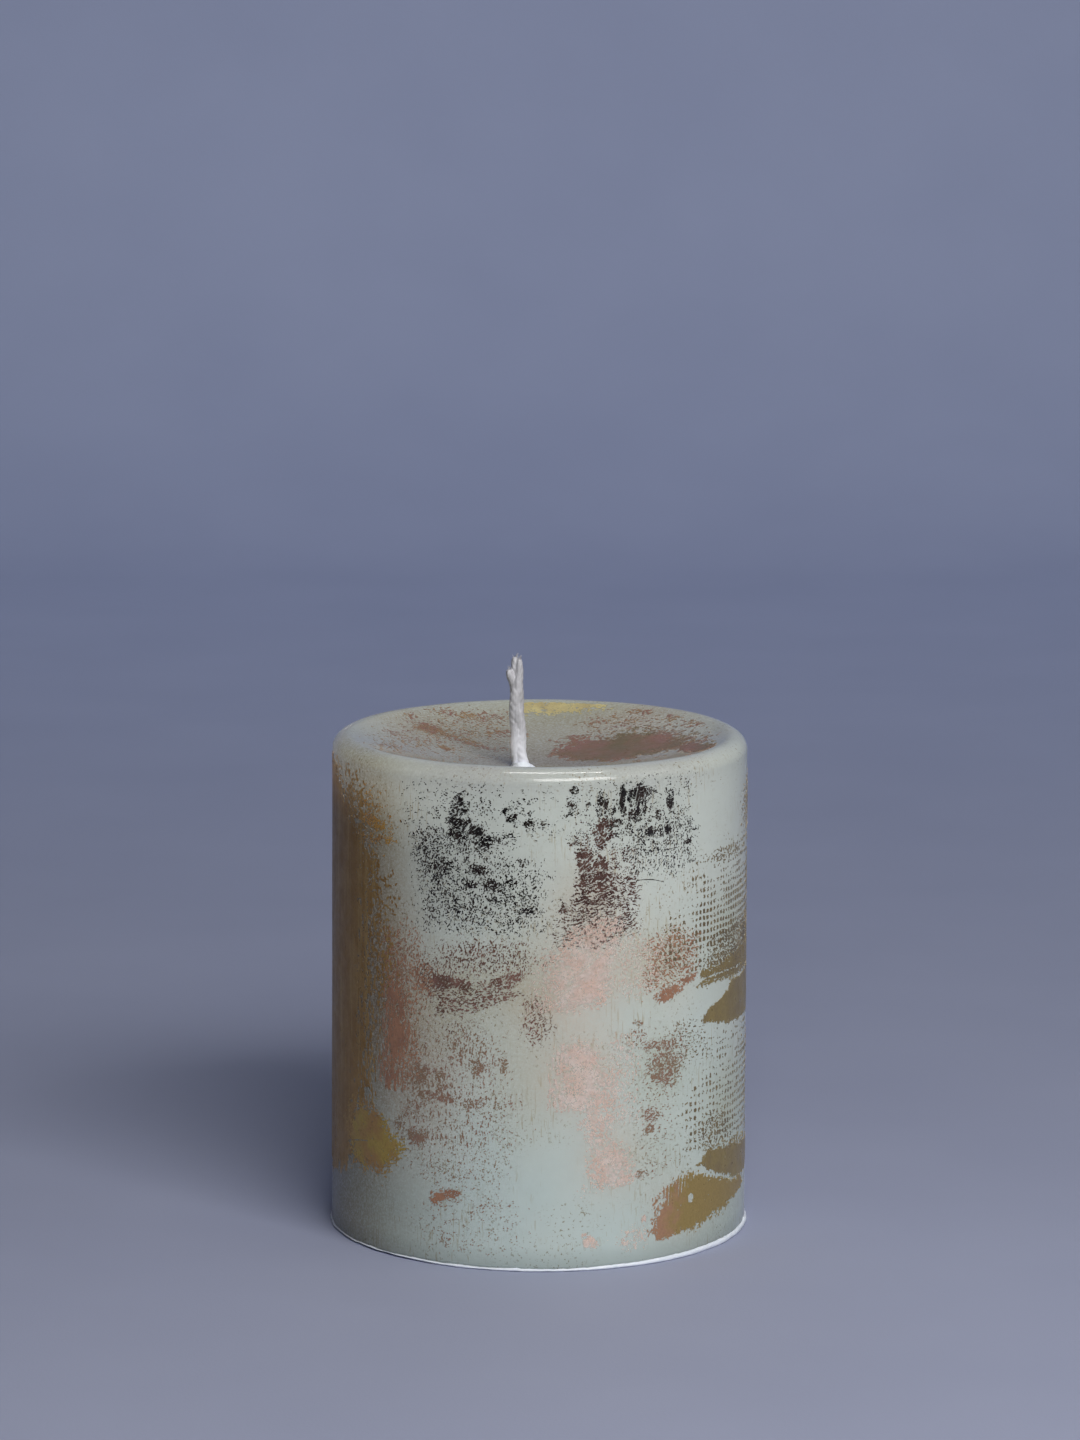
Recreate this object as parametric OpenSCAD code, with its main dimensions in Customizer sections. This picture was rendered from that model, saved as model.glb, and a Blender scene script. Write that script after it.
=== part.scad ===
// Hand-dipped pillar candle with rubbed-on metal leaf: a white core under a skin of sage wax, with a
// dished top, a leaning cotton wick on a tin tab, and loose patches of gold and copper leaf.
// The origin is the middle of the resting face, +Z is up, and the front of the candle faces -Y.

/* [Candle body] */
// Diameter across the sage wax at the foot
foot_d = 75; // [60:0.5:95]
// How much narrower the sage wax is at the top, from the mould's draft
draft = 0.7; // [0:0.1:2]
// Height of the rim's crest above the table
crest_h = 89.4; // [86:0.1:120]
// Radius of the rounded shoulder
shoulder_r = 2.9; // [2.4:0.1:5]
// Depth of the dished top below the crest
dish_depth = 6.4; // [3.5:0.1:9]
// Thickness of the sage wax over the white core
skin_t = 2; // [1:0.1:2.2]

/* [White foot] */
// How far the white lip stands out past the sage wax
lip_out = 0.45; // [0.1:0.05:1]
// Height of the white lip
lip_h = 0.8; // [0.6:0.1:1.6]

/* [Wick] */
// Diameter of the waxed cotton inside the candle
wick_d = 2.6; // [2:0.1:3]
// Diameter of the bare wick where it leaves the wax
wick_foot_d = 2.9; // [2.6:0.1:3.6]
// Diameter of the bare wick just below its cut tip
wick_tip_d = 2.2; // [1.6:0.1:2.8]
// Height of the cut tip above the dish floor
wick_bare_h = 20.2; // [8:0.1:30]
// How far left of the centre the wick comes out of the dish
wick_off = 3.3; // [0:0.1:5]
// Number of yarns spread at the cut tip
tip_yarns = 3; // [2:1:5]

/* [Wick tab] */
// Diameter of the tin tab
tab_d = 20; // [14:0.5:26]
// Thickness of the tin
tab_t = 0.3; // [0.2:0.05:0.5]
// Outside diameter of the tab's neck
neck_d = 3.4; // [3.2:0.1:4.4]
// Height of the neck above the tab
neck_h = 6; // [3:0.5:7]

/* [Metal leaf] */
// Thickness given to the leaf, so that each patch is a real solid
leaf_t = 0.06; // [0.04:0.01:0.2]
// Width of one thread gap in the gauze imprint
gauze_w = 0.62; // [0.4:0.02:0.9]
// Height of one thread gap in the gauze imprint
gauze_h = 0.95; // [0.5:0.05:1.2]
// Distance between neighbouring thread gaps, across and up
gauze_pitch = [1.35, 1.6];

/* [Hidden] */
$fn = 96;

sage = [0.66, 0.70, 0.64];
white_wax = [0.90, 0.90, 0.88];
cotton = [0.93, 0.92, 0.90];
tin = [0.75, 0.76, 0.78];
bronze = [0.48, 0.36, 0.22];
gold = [0.72, 0.60, 0.25];
copper = [0.68, 0.40, 0.31];
rose = [0.85, 0.66, 0.60];
dark_leaf = [0.20, 0.16, 0.14];

foot_r = foot_d / 2;
// The shoulder is an arc that meets the side below it and the dish inside it without an edge.
shoulder_z = crest_h - shoulder_r;
shoulder_side_r = foot_r - draft / 2;
shoulder_x = shoulder_side_r - shoulder_r;
dish_floor_z = crest_h - dish_depth;
dish_drop = dish_floor_z - shoulder_z;
dish_r = (pow(shoulder_x, 2) + pow(dish_drop, 2) - pow(shoulder_r, 2)) / (2 * (shoulder_r - dish_drop));
dish_centre_z = dish_floor_z + dish_r;
// Where the shoulder's arc passes into the dish's arc, as a share of the line between their centres.
arc_gap = dish_r + shoulder_r;
blend_x = shoulder_x - shoulder_r * shoulder_x / arc_gap;
blend_z = shoulder_z + shoulder_r * (dish_centre_z - shoulder_z) / arc_gap;

tab_z = 0.25;
tab_recess_r = tab_d / 2 + 0.2;
// The collar fills a shallow seat in the dish, round the wick.
seat_depth = 0.15;
seat_z = dish_floor_z - seat_depth;
wick_lean = atan(wick_off / (seat_z - tab_z));
wick_run = (seat_z - tab_z) / cos(wick_lean);
yarn_d = wick_tip_d * 0.5;
yarn_h = 2.6;
yarn_splay = 9;
collar_h = 1.1;
collar_r = 2.7;

// ---------- candle body ----------

// Half section of the wax inside a skin of the given thickness, from the table to the dish.
module wax_section(inset) {
    arc = shoulder_r - inset;
    share = arc / shoulder_r;
    difference() {
        union() {
            polygon([
                [0, 0], [foot_r - inset, 0], [shoulder_side_r - inset, shoulder_z],
                [shoulder_x, shoulder_z],
                [shoulder_x + (blend_x - shoulder_x) * share, shoulder_z + (blend_z - shoulder_z) * share],
                [0, shoulder_z + (blend_z - shoulder_z) * share]
            ]);
            translate([shoulder_x, shoulder_z]) circle(r = arc);
        }
        translate([0, dish_centre_z]) circle(r = dish_r + inset);
        translate([-foot_d, -1]) square([foot_d, crest_h * 2]);
    }
}

module lip_section() {
    reach = foot_r + lip_out - lip_h / 2;
    square([reach, lip_h]);
    translate([reach, lip_h / 2]) circle(r = lip_h / 2);
}

// Places its children along the wick's own line, which leans left from the tab to the dish.
module on_wick_axis(along) {
    translate([0, 0, tab_z]) rotate([0, -wick_lean, 0]) translate([0, 0, along]) children();
}

// The wick's way through the wax, from under the tab to above the dish.
module wick_way(d) {
    on_wick_axis(-tab_z - 1) cylinder(d = d, h = wick_run + tab_z + 3);
}

module above(z) {
    translate([-foot_d, -foot_d, z]) cube([foot_d * 2, foot_d * 2, crest_h]);
}

module below(z) {
    translate([-foot_d, -foot_d, z - crest_h * 2]) cube([foot_d * 2, foot_d * 2, crest_h * 2]);
}

// The open space above the dish: a ball turned so that its poles lie away from the wick.
module above_dish(grow = 0) {
    translate([0, 0, dish_centre_z]) rotate([90, 0, 0]) sphere(r = dish_r + grow);
}

// The bare wick, with its foot on the seat that the collar fills.
module bare_wick() {
    difference() {
        on_wick_axis(wick_run - 1) cylinder(d1 = wick_foot_d, d2 = wick_tip_d, h = wick_bare_h - yarn_h + 1);
        below(seat_z);
    }
}

module wax_core() {
    color(white_wax) difference() {
        rotate_extrude() {
            wax_section(skin_t);
            lip_section();
        }
        translate([0, 0, -1]) cylinder(r = tab_recess_r, h = 1 + tab_z + tab_t);
        on_wick_axis(-1) cylinder(d = neck_d, h = 1 + tab_t + neck_h);
        wick_way(wick_d);
    }
}

module wax_overdip() {
    color(sage) difference() {
        rotate_extrude() difference() {
            wax_section(0);
            wax_section(skin_t);
            square([foot_d, lip_h]);
        }
        wick_way(wick_d);
        translate([-wick_off, 0, seat_z]) cylinder(r = collar_r, h = crest_h);
    }
}

// The bead of wax that sets round the wick's foot when the candle is dipped.
module wick_collar() {
    rim = seat_depth * 2;
    color(white_wax) difference() {
        translate([-wick_off, 0, seat_z]) {
            cylinder(r = collar_r, h = rim);
            translate([0, 0, rim]) cylinder(r1 = collar_r, r2 = wick_foot_d / 2 + 0.15, h = collar_h);
        }
        on_wick_axis(wick_run - 1) cylinder(d1 = wick_foot_d, d2 = wick_tip_d, h = wick_bare_h - yarn_h + 1);
    }
}

module wick_braid() {
    color(cotton) {
        difference() {
            wick_way(wick_d);
            above(seat_z);
            below(tab_z);
        }
        bare_wick();
        on_wick_axis(wick_run + wick_bare_h - yarn_h - 0.6)
            for (i = [0 : tip_yarns - 1])
                rotate([0, 0, i * 360 / tip_yarns + 10])
                    translate([wick_tip_d * 0.24, 0, 0])
                        rotate([0, yarn_splay, 0])
                            cylinder(d = yarn_d, h = yarn_h + 0.6);
    }
}

module wick_tab() {
    color(tin) difference() {
        union() {
            translate([0, 0, tab_z]) cylinder(d = tab_d, h = tab_t);
            difference() {
                on_wick_axis(-1) cylinder(d = neck_d, h = 1 + tab_t + neck_h);
                below(tab_z);
            }
        }
        wick_way(wick_d);
    }
}

// ---------- metal leaf ----------

// A torn edge: a closed outline of points whose distance from the middle varies at random.
function torn(w, h, seed, points = 14, tear = 0.32) =
    let (r = rands(1 - tear, 1, points, seed))
    [for (i = [0 : points - 1]) [w / 2 * r[i] * cos(i * 360 / points), h / 2 * r[i] * sin(i * 360 / points)]];

// One torn flake, w wide and h high, with its middle at x across and z up.
module flake(x, z, w, h, lean = 0, seed = 1) {
    translate([x, z]) rotate(lean) polygon(torn(w, h, seed));
}

// A scatter of small flakes over an oval area.
module specks(x, z, w, h, count, size, seed) {
    place = rands(0, 360, count, seed);
    reach = rands(0.1, 1, count, seed + 1);
    scale_of = rands(0.55, 1.2, count, seed + 2);
    for (i = [0 : count - 1])
        translate([x + w / 2 * sqrt(reach[i]) * cos(place[i]), z + h / 2 * sqrt(reach[i]) * sin(place[i])])
            rotate(place[i]) polygon(torn(size * scale_of[i], size * 0.6 * scale_of[i], seed + i, 7));
}

// The print of a gauze cloth: one small block of leaf in each gap between threads.
module gauze(x, z, columns, rows, lean) {
    for (i = [0 : columns - 1], j = [0 : rows - 1])
        translate([x + (i - (columns - 1) / 2) * gauze_pitch[0],
                   z + (j - (rows - 1) / 2) * gauze_pitch[1] + (i - (columns - 1) / 2) * lean])
            square([gauze_w, gauze_h], center = true);
}

// Lays flat outlines on the candle's side, round the given angle from the front.
module on_side(at) {
    intersection() {
        difference() {
            cylinder(r1 = foot_r + leaf_t, r2 = shoulder_side_r + leaf_t, h = shoulder_z);
            cylinder(r1 = foot_r, r2 = shoulder_side_r, h = shoulder_z);
        }
        rotate([0, 0, at]) rotate([90, 0, 0]) linear_extrude(height = foot_d) children();
    }
}

// Lays flat outlines on the dish.
module on_dish() {
    intersection() {
        difference() {
            above_dish();
            above_dish(-leaf_t);
        }
        translate([0, 0, dish_floor_z - 1]) linear_extrude(height = dish_depth + 1) children();
    }
}

module leaf_left_band() {
    color(bronze) on_side(-70) {
        flake(0, 51, 25, 54, 0, 11);
        flake(4, 74, 12, 14, 8, 12);
    }
}

module leaf_left_orange() {
    color(gold) on_side(-50) {
        flake(1, 77.4, 5, 2.2, 8, 21);
        specks(0, 77.5, 10, 9, 14, 1.7, 22);
    }
}

module leaf_left_copper() {
    color(copper) on_side(-41) {
        flake(0, 40, 5.4, 14, -4, 31);
        specks(0, 48, 10, 24, 18, 1.8, 32);
    }
}

module leaf_left_gold() {
    color(gold) on_side(-53) flake(0, 20.6, 15, 10.4, -12, 41);
}

module leaf_boot() {
    color(dark_leaf) on_side(-17) {
        flake(-3.6, 82, 3.4, 5.4, -14, 51);
        flake(0.4, 78.4, 8.4, 3, -16, 52);
        specks(0, 79, 13, 8, 16, 1.2, 53);
    }
}

module leaf_boot_scatter() {
    color(dark_leaf) on_side(-18) {
        flake(0.4, 71.5, 2.6, 1.5, 0, 61);
        flake(3.4, 68.7, 2.8, 1.3, 10, 62);
        specks(0, 68, 22, 15, 28, 1.1, 66);
    }
}

module leaf_centre_cluster() {
    color(dark_leaf) on_side(-5) {
        flake(-1.4, 81.2, 1.7, 1.5, -30, 71);
        specks(0.8, 80.4, 5, 3.4, 8, 1, 72);
    }
}

module leaf_rust_row() {
    color(copper) on_side(-19) {
        flake(-4, 51, 6, 2.2, 5, 81);
        flake(6.6, 51.8, 4.2, 1.8, 0, 82);
        flake(-1, 47.4, 9, 1.3, 14, 83);
        specks(0, 54, 16, 6, 12, 1.1, 84);
    }
}

module leaf_low_scatter() {
    color(copper) on_side(-27) {
        flake(-6, 22.8, 3.8, 2.8, -10, 91);
        flake(-3, 33, 5, 2.6, 0, 92);
        specks(1, 31, 16, 18, 26, 1.3, 93);
    }
}

module leaf_arrow() {
    color(copper) on_side(-26) flake(0, 12.6, 6.4, 1.9, 17, 101);
}

module leaf_dark_bars() {
    color(dark_leaf) on_side(27) {
        flake(-6.8, 82.6, 3, 4.4, 0, 111);
        flake(-2.9, 83, 2.2, 5, 0, 112);
        flake(1.4, 83.5, 3, 4.6, 0, 113);
        flake(7.2, 82.6, 2, 3.6, 0, 114);
        flake(3.4, 77.6, 2.8, 1.4, 0, 115);
        flake(6.2, 77.6, 1.9, 2.2, 0, 116);
        specks(1, 79.5, 19, 11, 20, 1.2, 117);
    }
}

module leaf_dark_column() {
    color(dark_leaf) on_side(16) {
        flake(1, 78.4, 3.4, 6, 6, 121);
        flake(-0.8, 73, 5, 5, 0, 122);
        flake(0.6, 67.4, 11, 5, 0, 123);
    }
}

module leaf_rose_upper() {
    color(rose) on_side(15) {
        flake(1, 59, 10, 9, 0, 131);
        flake(-1.4, 51.6, 14, 10, 12, 132);
    }
}

module leaf_rose_lower() {
    color(rose) on_side(14) {
        flake(-1.6, 36, 10, 13, 0, 141);
        flake(2.4, 21.5, 9, 14, -6, 142);
    }
}

module leaf_foot_fleck() {
    color(rose) on_side(14) flake(0, 4.8, 2, 2.6, 0, 151);
}

module leaf_copper_side() {
    color(copper) on_side(38) {
        flake(0.6, 49, 8, 2.6, 10, 161);
        specks(0, 54, 10, 8, 14, 1.3, 162);
    }
}

module leaf_copper_fleck() {
    color(copper) on_side(36) {
        flake(1, 36, 4.4, 4, 20, 171);
        specks(0, 35, 9, 14, 16, 1.2, 172);
    }
}

module leaf_gauze_upper() {
    color(bronze) on_side(60) gauze(0, 58, 12, 7, -0.08);
}

module leaf_gauze_lower() {
    color(bronze) on_side(58) gauze(0, 29, 11, 9, -0.06);
}

module leaf_gold_wedge() {
    color(gold) on_side(64) polygon([[-7.6, 42.2], [-4.4, 45], [1, 46.6], [2.4, 49.4], [9.6, 48.6],
                                     [10.4, 40.4], [4.6, 40.4], [-3.6, 41.2]]);
}

module leaf_gold_mid() {
    color(gold) on_side(64) polygon([[-9, 15.6], [-6.4, 17.6], [2, 17.2], [11, 15.8], [11.4, 10.6],
                                     [4, 12]]);
}

module leaf_gold_low() {
    color(gold) on_side(50) polygon([[-9.6, 5], [-8.8, 9.6], [-8, 13.4], [-4, 14.6], [-1.4, 15.2],
                                     [3.2, 13.8], [12, 10.4], [11, 7.4], [2, 5.8]]);
}

module leaf_back_band() {
    color(bronze) on_side(-118) {
        flake(0, 52, 22, 44, 6, 181);
        specks(0, 20, 20, 14, 14, 1.6, 182);
    }
}

module leaf_back_rose() {
    color(copper) on_side(176) {
        flake(-4, 66, 13, 15, -8, 191);
        flake(3, 34, 15, 17, 12, 192);
        specks(0, 50, 24, 30, 18, 1.5, 193);
    }
}

module leaf_back_gold() {
    color(gold) on_side(118) {
        flake(0, 24, 17, 10, 14, 201);
        flake(-3, 58, 12, 8, 10, 202);
        specks(0, 42, 20, 22, 16, 1.4, 203);
    }
}

module leaf_top_copper() {
    color(copper) on_dish() {
        polygon([[3, 12.6], [6.4, 16.6], [11, 15.6], [15, 17.4], [22, 14.2], [25, 7.6], [27, 2.4],
                 [20, 4.2], [13, 4], [6, 8.6]]);
        polygon([[27.4, 1.6], [30.4, -6], [31, -12], [28.6, -14], [26.4, -5]]);
    }
}

module leaf_top_gold() {
    color(gold) on_dish() flake(6, 29.4, 13, 4.4, 0, 211);
}

module leaf_top_left() {
    color(copper) on_dish() {
        flake(-21, 19.6, 4.6, 2.6, 0, 221);
        flake(-15.6, 16.4, 4.4, 2.4, -10, 222);
        specks(-16, 16, 20, 18, 14, 1.5, 223);
    }
}

module leaf_top_right() {
    color(copper) on_dish() {
        flake(21, 24.6, 5, 2.2, -35, 231);
        flake(26.6, 17.4, 3, 3, 0, 232);
        specks(17, 23, 16, 8, 10, 1.5, 233);
    }
}

wax_core();
wax_overdip();
wick_collar();
wick_braid();
wick_tab();
leaf_left_band();
leaf_left_orange();
leaf_left_copper();
leaf_left_gold();
leaf_boot();
leaf_boot_scatter();
leaf_centre_cluster();
leaf_rust_row();
leaf_low_scatter();
leaf_arrow();
leaf_dark_bars();
leaf_dark_column();
leaf_rose_upper();
leaf_rose_lower();
leaf_foot_fleck();
leaf_copper_side();
leaf_copper_fleck();
leaf_gauze_upper();
leaf_gauze_lower();
leaf_gold_wedge();
leaf_gold_mid();
leaf_gold_low();
leaf_back_band();
leaf_back_rose();
leaf_back_gold();
leaf_top_copper();
leaf_top_gold();
leaf_top_left();
leaf_top_right();
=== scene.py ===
"""Dipped pillar candle with rubbed metal leaf: detailed wax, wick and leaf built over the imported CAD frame.

Distances in this file are in millimetres until a mesh is made, angles round the candle are in degrees from
the front (-Y) towards +X, and every random draw has a fixed seed.
"""

import math

import bpy
import numpy as np
from mathutils import Euler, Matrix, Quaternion, Vector


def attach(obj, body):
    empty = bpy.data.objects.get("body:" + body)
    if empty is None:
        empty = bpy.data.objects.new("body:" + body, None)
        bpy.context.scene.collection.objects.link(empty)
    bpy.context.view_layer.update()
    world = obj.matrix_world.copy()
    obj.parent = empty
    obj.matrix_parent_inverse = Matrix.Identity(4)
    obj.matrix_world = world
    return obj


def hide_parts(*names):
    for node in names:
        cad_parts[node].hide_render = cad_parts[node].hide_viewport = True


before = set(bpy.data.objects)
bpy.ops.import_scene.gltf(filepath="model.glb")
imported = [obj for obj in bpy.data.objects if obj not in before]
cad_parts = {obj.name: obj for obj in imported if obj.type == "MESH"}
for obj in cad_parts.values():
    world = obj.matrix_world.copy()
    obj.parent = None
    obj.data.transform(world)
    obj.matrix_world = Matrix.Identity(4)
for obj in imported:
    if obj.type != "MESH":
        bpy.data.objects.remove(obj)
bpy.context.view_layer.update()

MM = 0.001
TAU = 2 * math.pi

# ---------- the candle's sizes, as the CAD has them ----------

FOOT_R = 37.5
SIDE_TOP_R = 37.15
CREST_H = 89.4
SHOULDER_R = 2.9
SHOULDER_X = SIDE_TOP_R - SHOULDER_R
SHOULDER_Z = CREST_H - SHOULDER_R
DISH_FLOOR_Z = 83.0
DISH_DROP = DISH_FLOOR_Z - SHOULDER_Z
DISH_R = (SHOULDER_X**2 + DISH_DROP**2 - SHOULDER_R**2) / (2 * (SHOULDER_R - DISH_DROP))
DISH_CENTRE_Z = DISH_FLOOR_Z + DISH_R
BLEND_X = SHOULDER_X - SHOULDER_R * SHOULDER_X / (DISH_R + SHOULDER_R)
BLEND_ANGLE = math.atan2(DISH_CENTRE_Z - SHOULDER_Z, -SHOULDER_X)
SKIN_T = 2.0
TAB_Z = 0.25
TAB_T = 0.3
TAB_RECESS_R = 10.2
NECK_R = 1.7
NECK_H = 6.0
WICK_R = 1.3
WICK_EXIT_X = -3.3
WICK_SEAT_Z = 82.85
WICK_LEAN = math.atan(-WICK_EXIT_X / (WICK_SEAT_Z - TAB_Z))
WICK_RUN = (WICK_SEAT_Z - TAB_Z) / math.cos(WICK_LEAN)
WICK_BARE = 20.2
WICK_END = WICK_RUN + WICK_BARE
# A small gap keeps one visual piece clear of the next where both are hidden.
CLEAR = 0.03

# ---------- noise ----------

NOISE_TILE = 128


def fade(w):
    """Eases from 0 to 1 with a level start and end."""
    return w * w * w * (w * (6 * w - 15) + 10)


def gradient_noise(u, v, seed):
    """Smooth noise with features about one unit across, roughly -1 to 1, at each point (u, v)."""
    turn = np.random.default_rng(seed).random((NOISE_TILE, NOISE_TILE)) * TAU
    u0, v0 = np.floor(u).astype(int), np.floor(v).astype(int)
    fu, fv = u - u0, v - v0
    total = 0.0
    for du in (0, 1):
        for dv in (0, 1):
            angle = turn[(u0 + du) % NOISE_TILE, (v0 + dv) % NOISE_TILE]
            slope = np.cos(angle) * (fu - du) + np.sin(angle) * (fv - dv)
            total = total + slope * fade(fu if du else 1 - fu) * fade(fv if dv else 1 - fv)
    return total * 1.5


def turned(u, v, angle):
    """Coordinates along and across a direction."""
    c, s = math.cos(angle), math.sin(angle)
    return u * c + v * s, v * c - u * s


def grain_noise(u, v, octaves, seed, lean=0.0):
    """Octaves of noise, each (width, height, weight) of its features, turned by lean degrees."""
    u, v = turned(u, v, math.radians(lean))
    total = 0.0
    for i, (width, height, weight) in enumerate(octaves):
        # Each round octave is turned a little, so that the lattices don't line up.
        a, b = turned(u, v, 0.0 if width != height else 0.5 + 0.7 * i)
        total = total + weight * gradient_noise(a / width + 17.3 * i, b / height + 5.9 * i, seed + 31 * i)
    return total


def ranked(values):
    """The same noise spread evenly over 0 to 1, so that the share below x is x."""
    order = np.argsort(values, axis=None, kind="stable")
    out = np.empty(values.size)
    out[order] = (np.arange(values.size) + 0.5) / values.size
    return out.reshape(values.shape)


def smoothstep(low, high, x):
    t = np.clip((x - low) / (high - low), 0.0, 1.0)
    return t * t * (3 - 2 * t)


# ---------- the wax surface, shared by the wax and the leaf on it ----------

# The dipped side's ripples: (depth, waves round the candle, phase, rise in mm that turns one by a radian).
SIDE_RIPPLES = [(0.05, 2, 0.6, 31), (0.035, 3, -1.1, -23), (0.02, 7, 2.0, 11), (0.012, 13, 0.0, -6.5)]


def side_wave(theta, t):
    """How far the dipped wax stands in or out, in mm, round the side and up it."""
    ripples = SIDE_RIPPLES
    return sum(depth * np.sin(waves * theta + phase + t / rise) for depth, waves, phase, rise in ripples)


def side_profile(t):
    """Radius, height and outward normal of the side at t mm up it, where t runs on round the shoulder."""
    phi = np.clip((t - SHOULDER_Z) / SHOULDER_R, 0.0, BLEND_ANGLE)
    low = t < SHOULDER_Z
    r = np.where(low, FOOT_R + (SIDE_TOP_R - FOOT_R) * t / SHOULDER_Z, SHOULDER_X + SHOULDER_R * np.cos(phi))
    z = np.where(low, t, SHOULDER_Z + SHOULDER_R * np.sin(phi))
    return r, z, np.cos(phi), np.sin(phi)


def side_surface(centre):
    """Maps arc mm from the angle centre, and mm up the side, to points and normals on the wax."""

    def surface(u, t):
        theta = math.radians(centre) + u / FOOT_R
        r, z, nr, nz = side_profile(t)
        wave = side_wave(theta, t)
        r, z = r + wave * nr, z + wave * nz
        sin, cos = np.sin(theta), np.cos(theta)
        return np.stack([r * sin, -r * cos, z], -1), np.stack([nr * sin, -nr * cos, nz], -1)

    return surface


def dish_wave(x, y):
    """How far the poured top is above or below its plain dish, in mm."""
    broad = 0.05 * np.sin(x / 5.1 + 0.7) * np.sin(y / 6.3 + 1.9)
    return broad + 0.04 * np.sin((x + y) / 8.7) + 0.02 * np.sin(x / 2.3 - y / 3.1)


def dish_surface(x, y):
    """Points and normals on the dished top at plan position x, y."""
    r = np.hypot(x, y)
    z = DISH_CENTRE_Z - np.sqrt(DISH_R**2 - r**2) + dish_wave(x, y)
    normal = np.stack([-x / DISH_R, -y / DISH_R, np.sqrt(1 - (r / DISH_R) ** 2)], -1)
    return np.stack([x, y, z], -1), normal


# ---------- meshes ----------


def make_object(name, points, loops, material, smooth=False):
    """A mesh from points in mm and face arrays, each of faces with the same number of corners."""
    mesh = bpy.data.meshes.new(name)
    points = np.asarray(points, float) * MM
    loops = [np.asarray(face, int) for face in loops if len(face)]
    corners = np.concatenate([face.ravel() for face in loops])
    sizes = np.concatenate([np.full(len(face), face.shape[1]) for face in loops])
    starts = np.concatenate([[0], np.cumsum(sizes)[:-1]])
    mesh.vertices.add(len(points))
    mesh.vertices.foreach_set("co", points.astype(np.float32).ravel())
    mesh.loops.add(len(corners))
    mesh.loops.foreach_set("vertex_index", corners.astype(np.int32))
    mesh.polygons.add(len(sizes))
    mesh.polygons.foreach_set("loop_start", starts.astype(np.int32))
    mesh.polygons.foreach_set("use_smooth", np.full(len(sizes), smooth))
    mesh.update(calc_edges=True)
    mesh.validate()
    obj = bpy.data.objects.new(name, mesh)
    bpy.context.scene.collection.objects.link(obj)
    obj.data.materials.append(material)
    return obj


def place(obj, node):
    """The piece rides on the one body, and the CAD node that it takes the place of is hidden."""
    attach(obj, "root")
    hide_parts(node)


def ring_quads(rings, count, closed=True):
    """Faces of a tube of rings of count points; where it is closed, the last ring joins the first."""
    i = np.arange(rings if closed else rings - 1)[:, None]
    j = np.arange(count)[None, :]
    here, ahead = i * count, ((i + 1) % rings) * count
    k = (j + 1) % count
    return np.stack([here + j, here + k, ahead + k, ahead + j], -1).reshape(-1, 4)


def ring_body(name, rings, material):
    """A closed body skinned over rings that all hold the same number of points."""
    quads = ring_quads(len(rings), len(rings[0]))
    return make_object(name, np.concatenate(rings), [quads], material, smooth=True)


# ---------- the wax ----------

SEGMENTS = 320
THETA = np.arange(SEGMENTS) * TAU / SEGMENTS
# The same angles from -pi to pi, with 0 at the front.
TURN = np.angle(np.exp(1j * THETA))
# Surfaces that turn by more than this many degrees keep a crisp edge.
SHARP_ANGLE = 50


def round_ring(r, z):
    """A ring about the candle's axis; r and z are numbers or one value for each point of the ring."""
    return np.stack(np.broadcast_arrays(r * np.sin(THETA), -r * np.cos(THETA), z), -1)


def wick_ring(r, z):
    """A level ring about the leaning wick at height z."""
    return round_ring(r, z) + [WICK_EXIT_X * (z - TAB_Z) / (WICK_SEAT_Z - TAB_Z), 0.0, 0.0]


def ring_noise(waves, shift, seed, start=0.0):
    """Noise round the ring, with about that many features to a radian."""
    return gradient_noise(THETA * waves + start, THETA * 0 + shift, seed)


def foot_edge():
    """Height of the sage wax's torn lower edge around the ring: higher and more chipped at the right."""
    right = smoothstep(0.15, 0.9, TURN) * smoothstep(2.6, 1.8, TURN)
    edge = 0.56 + 0.46 * right + 0.09 * ring_noise(9, 0.5, 5) + 0.09 * ring_noise(31, 0, 6)
    chips = smoothstep(0.42, 0.75, ring_noise(17, 0.3, 8, start=3.1))
    return edge + 0.42 * chips * (0.35 + 0.65 * right)


def lip_reach():
    """How far the white lip stands out past the sage wax at each point of the ring."""
    reach = 0.12 + 0.17 * smoothstep(-0.5, 0.7, TURN) + 0.12 * ring_noise(7, 0.2, 11)
    return np.clip(reach + 0.1 * ring_noise(40, 0.8, 12), 0.05, 0.42)


def lip_gap():
    """How far the white lip's lower edge is off the table at each point of the ring."""
    left = smoothstep(-0.35, -0.75, TURN) * smoothstep(-2.4, -1.6, TURN)
    notch = np.exp(-(((TURN + math.radians(45)) / math.radians(1.3)) ** 2))
    ragged = 0.5 + 0.5 * ring_noise(23, 0.4, 14)
    return 0.07 + 0.2 * left + 0.22 * notch + 0.06 * ragged


def dish_ring(share, inset):
    """A ring on the dish, from round the wick at share 0 to the blend with the shoulder at 1."""
    hole = WICK_R + CLEAR + 0.2
    radius = hole + (BLEND_X - hole) * share
    x, y = WICK_EXIT_X * (1 - share) + radius * np.sin(THETA), -radius * np.cos(THETA)
    points, normals = dish_surface(x, y)
    return points - normals * inset


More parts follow.
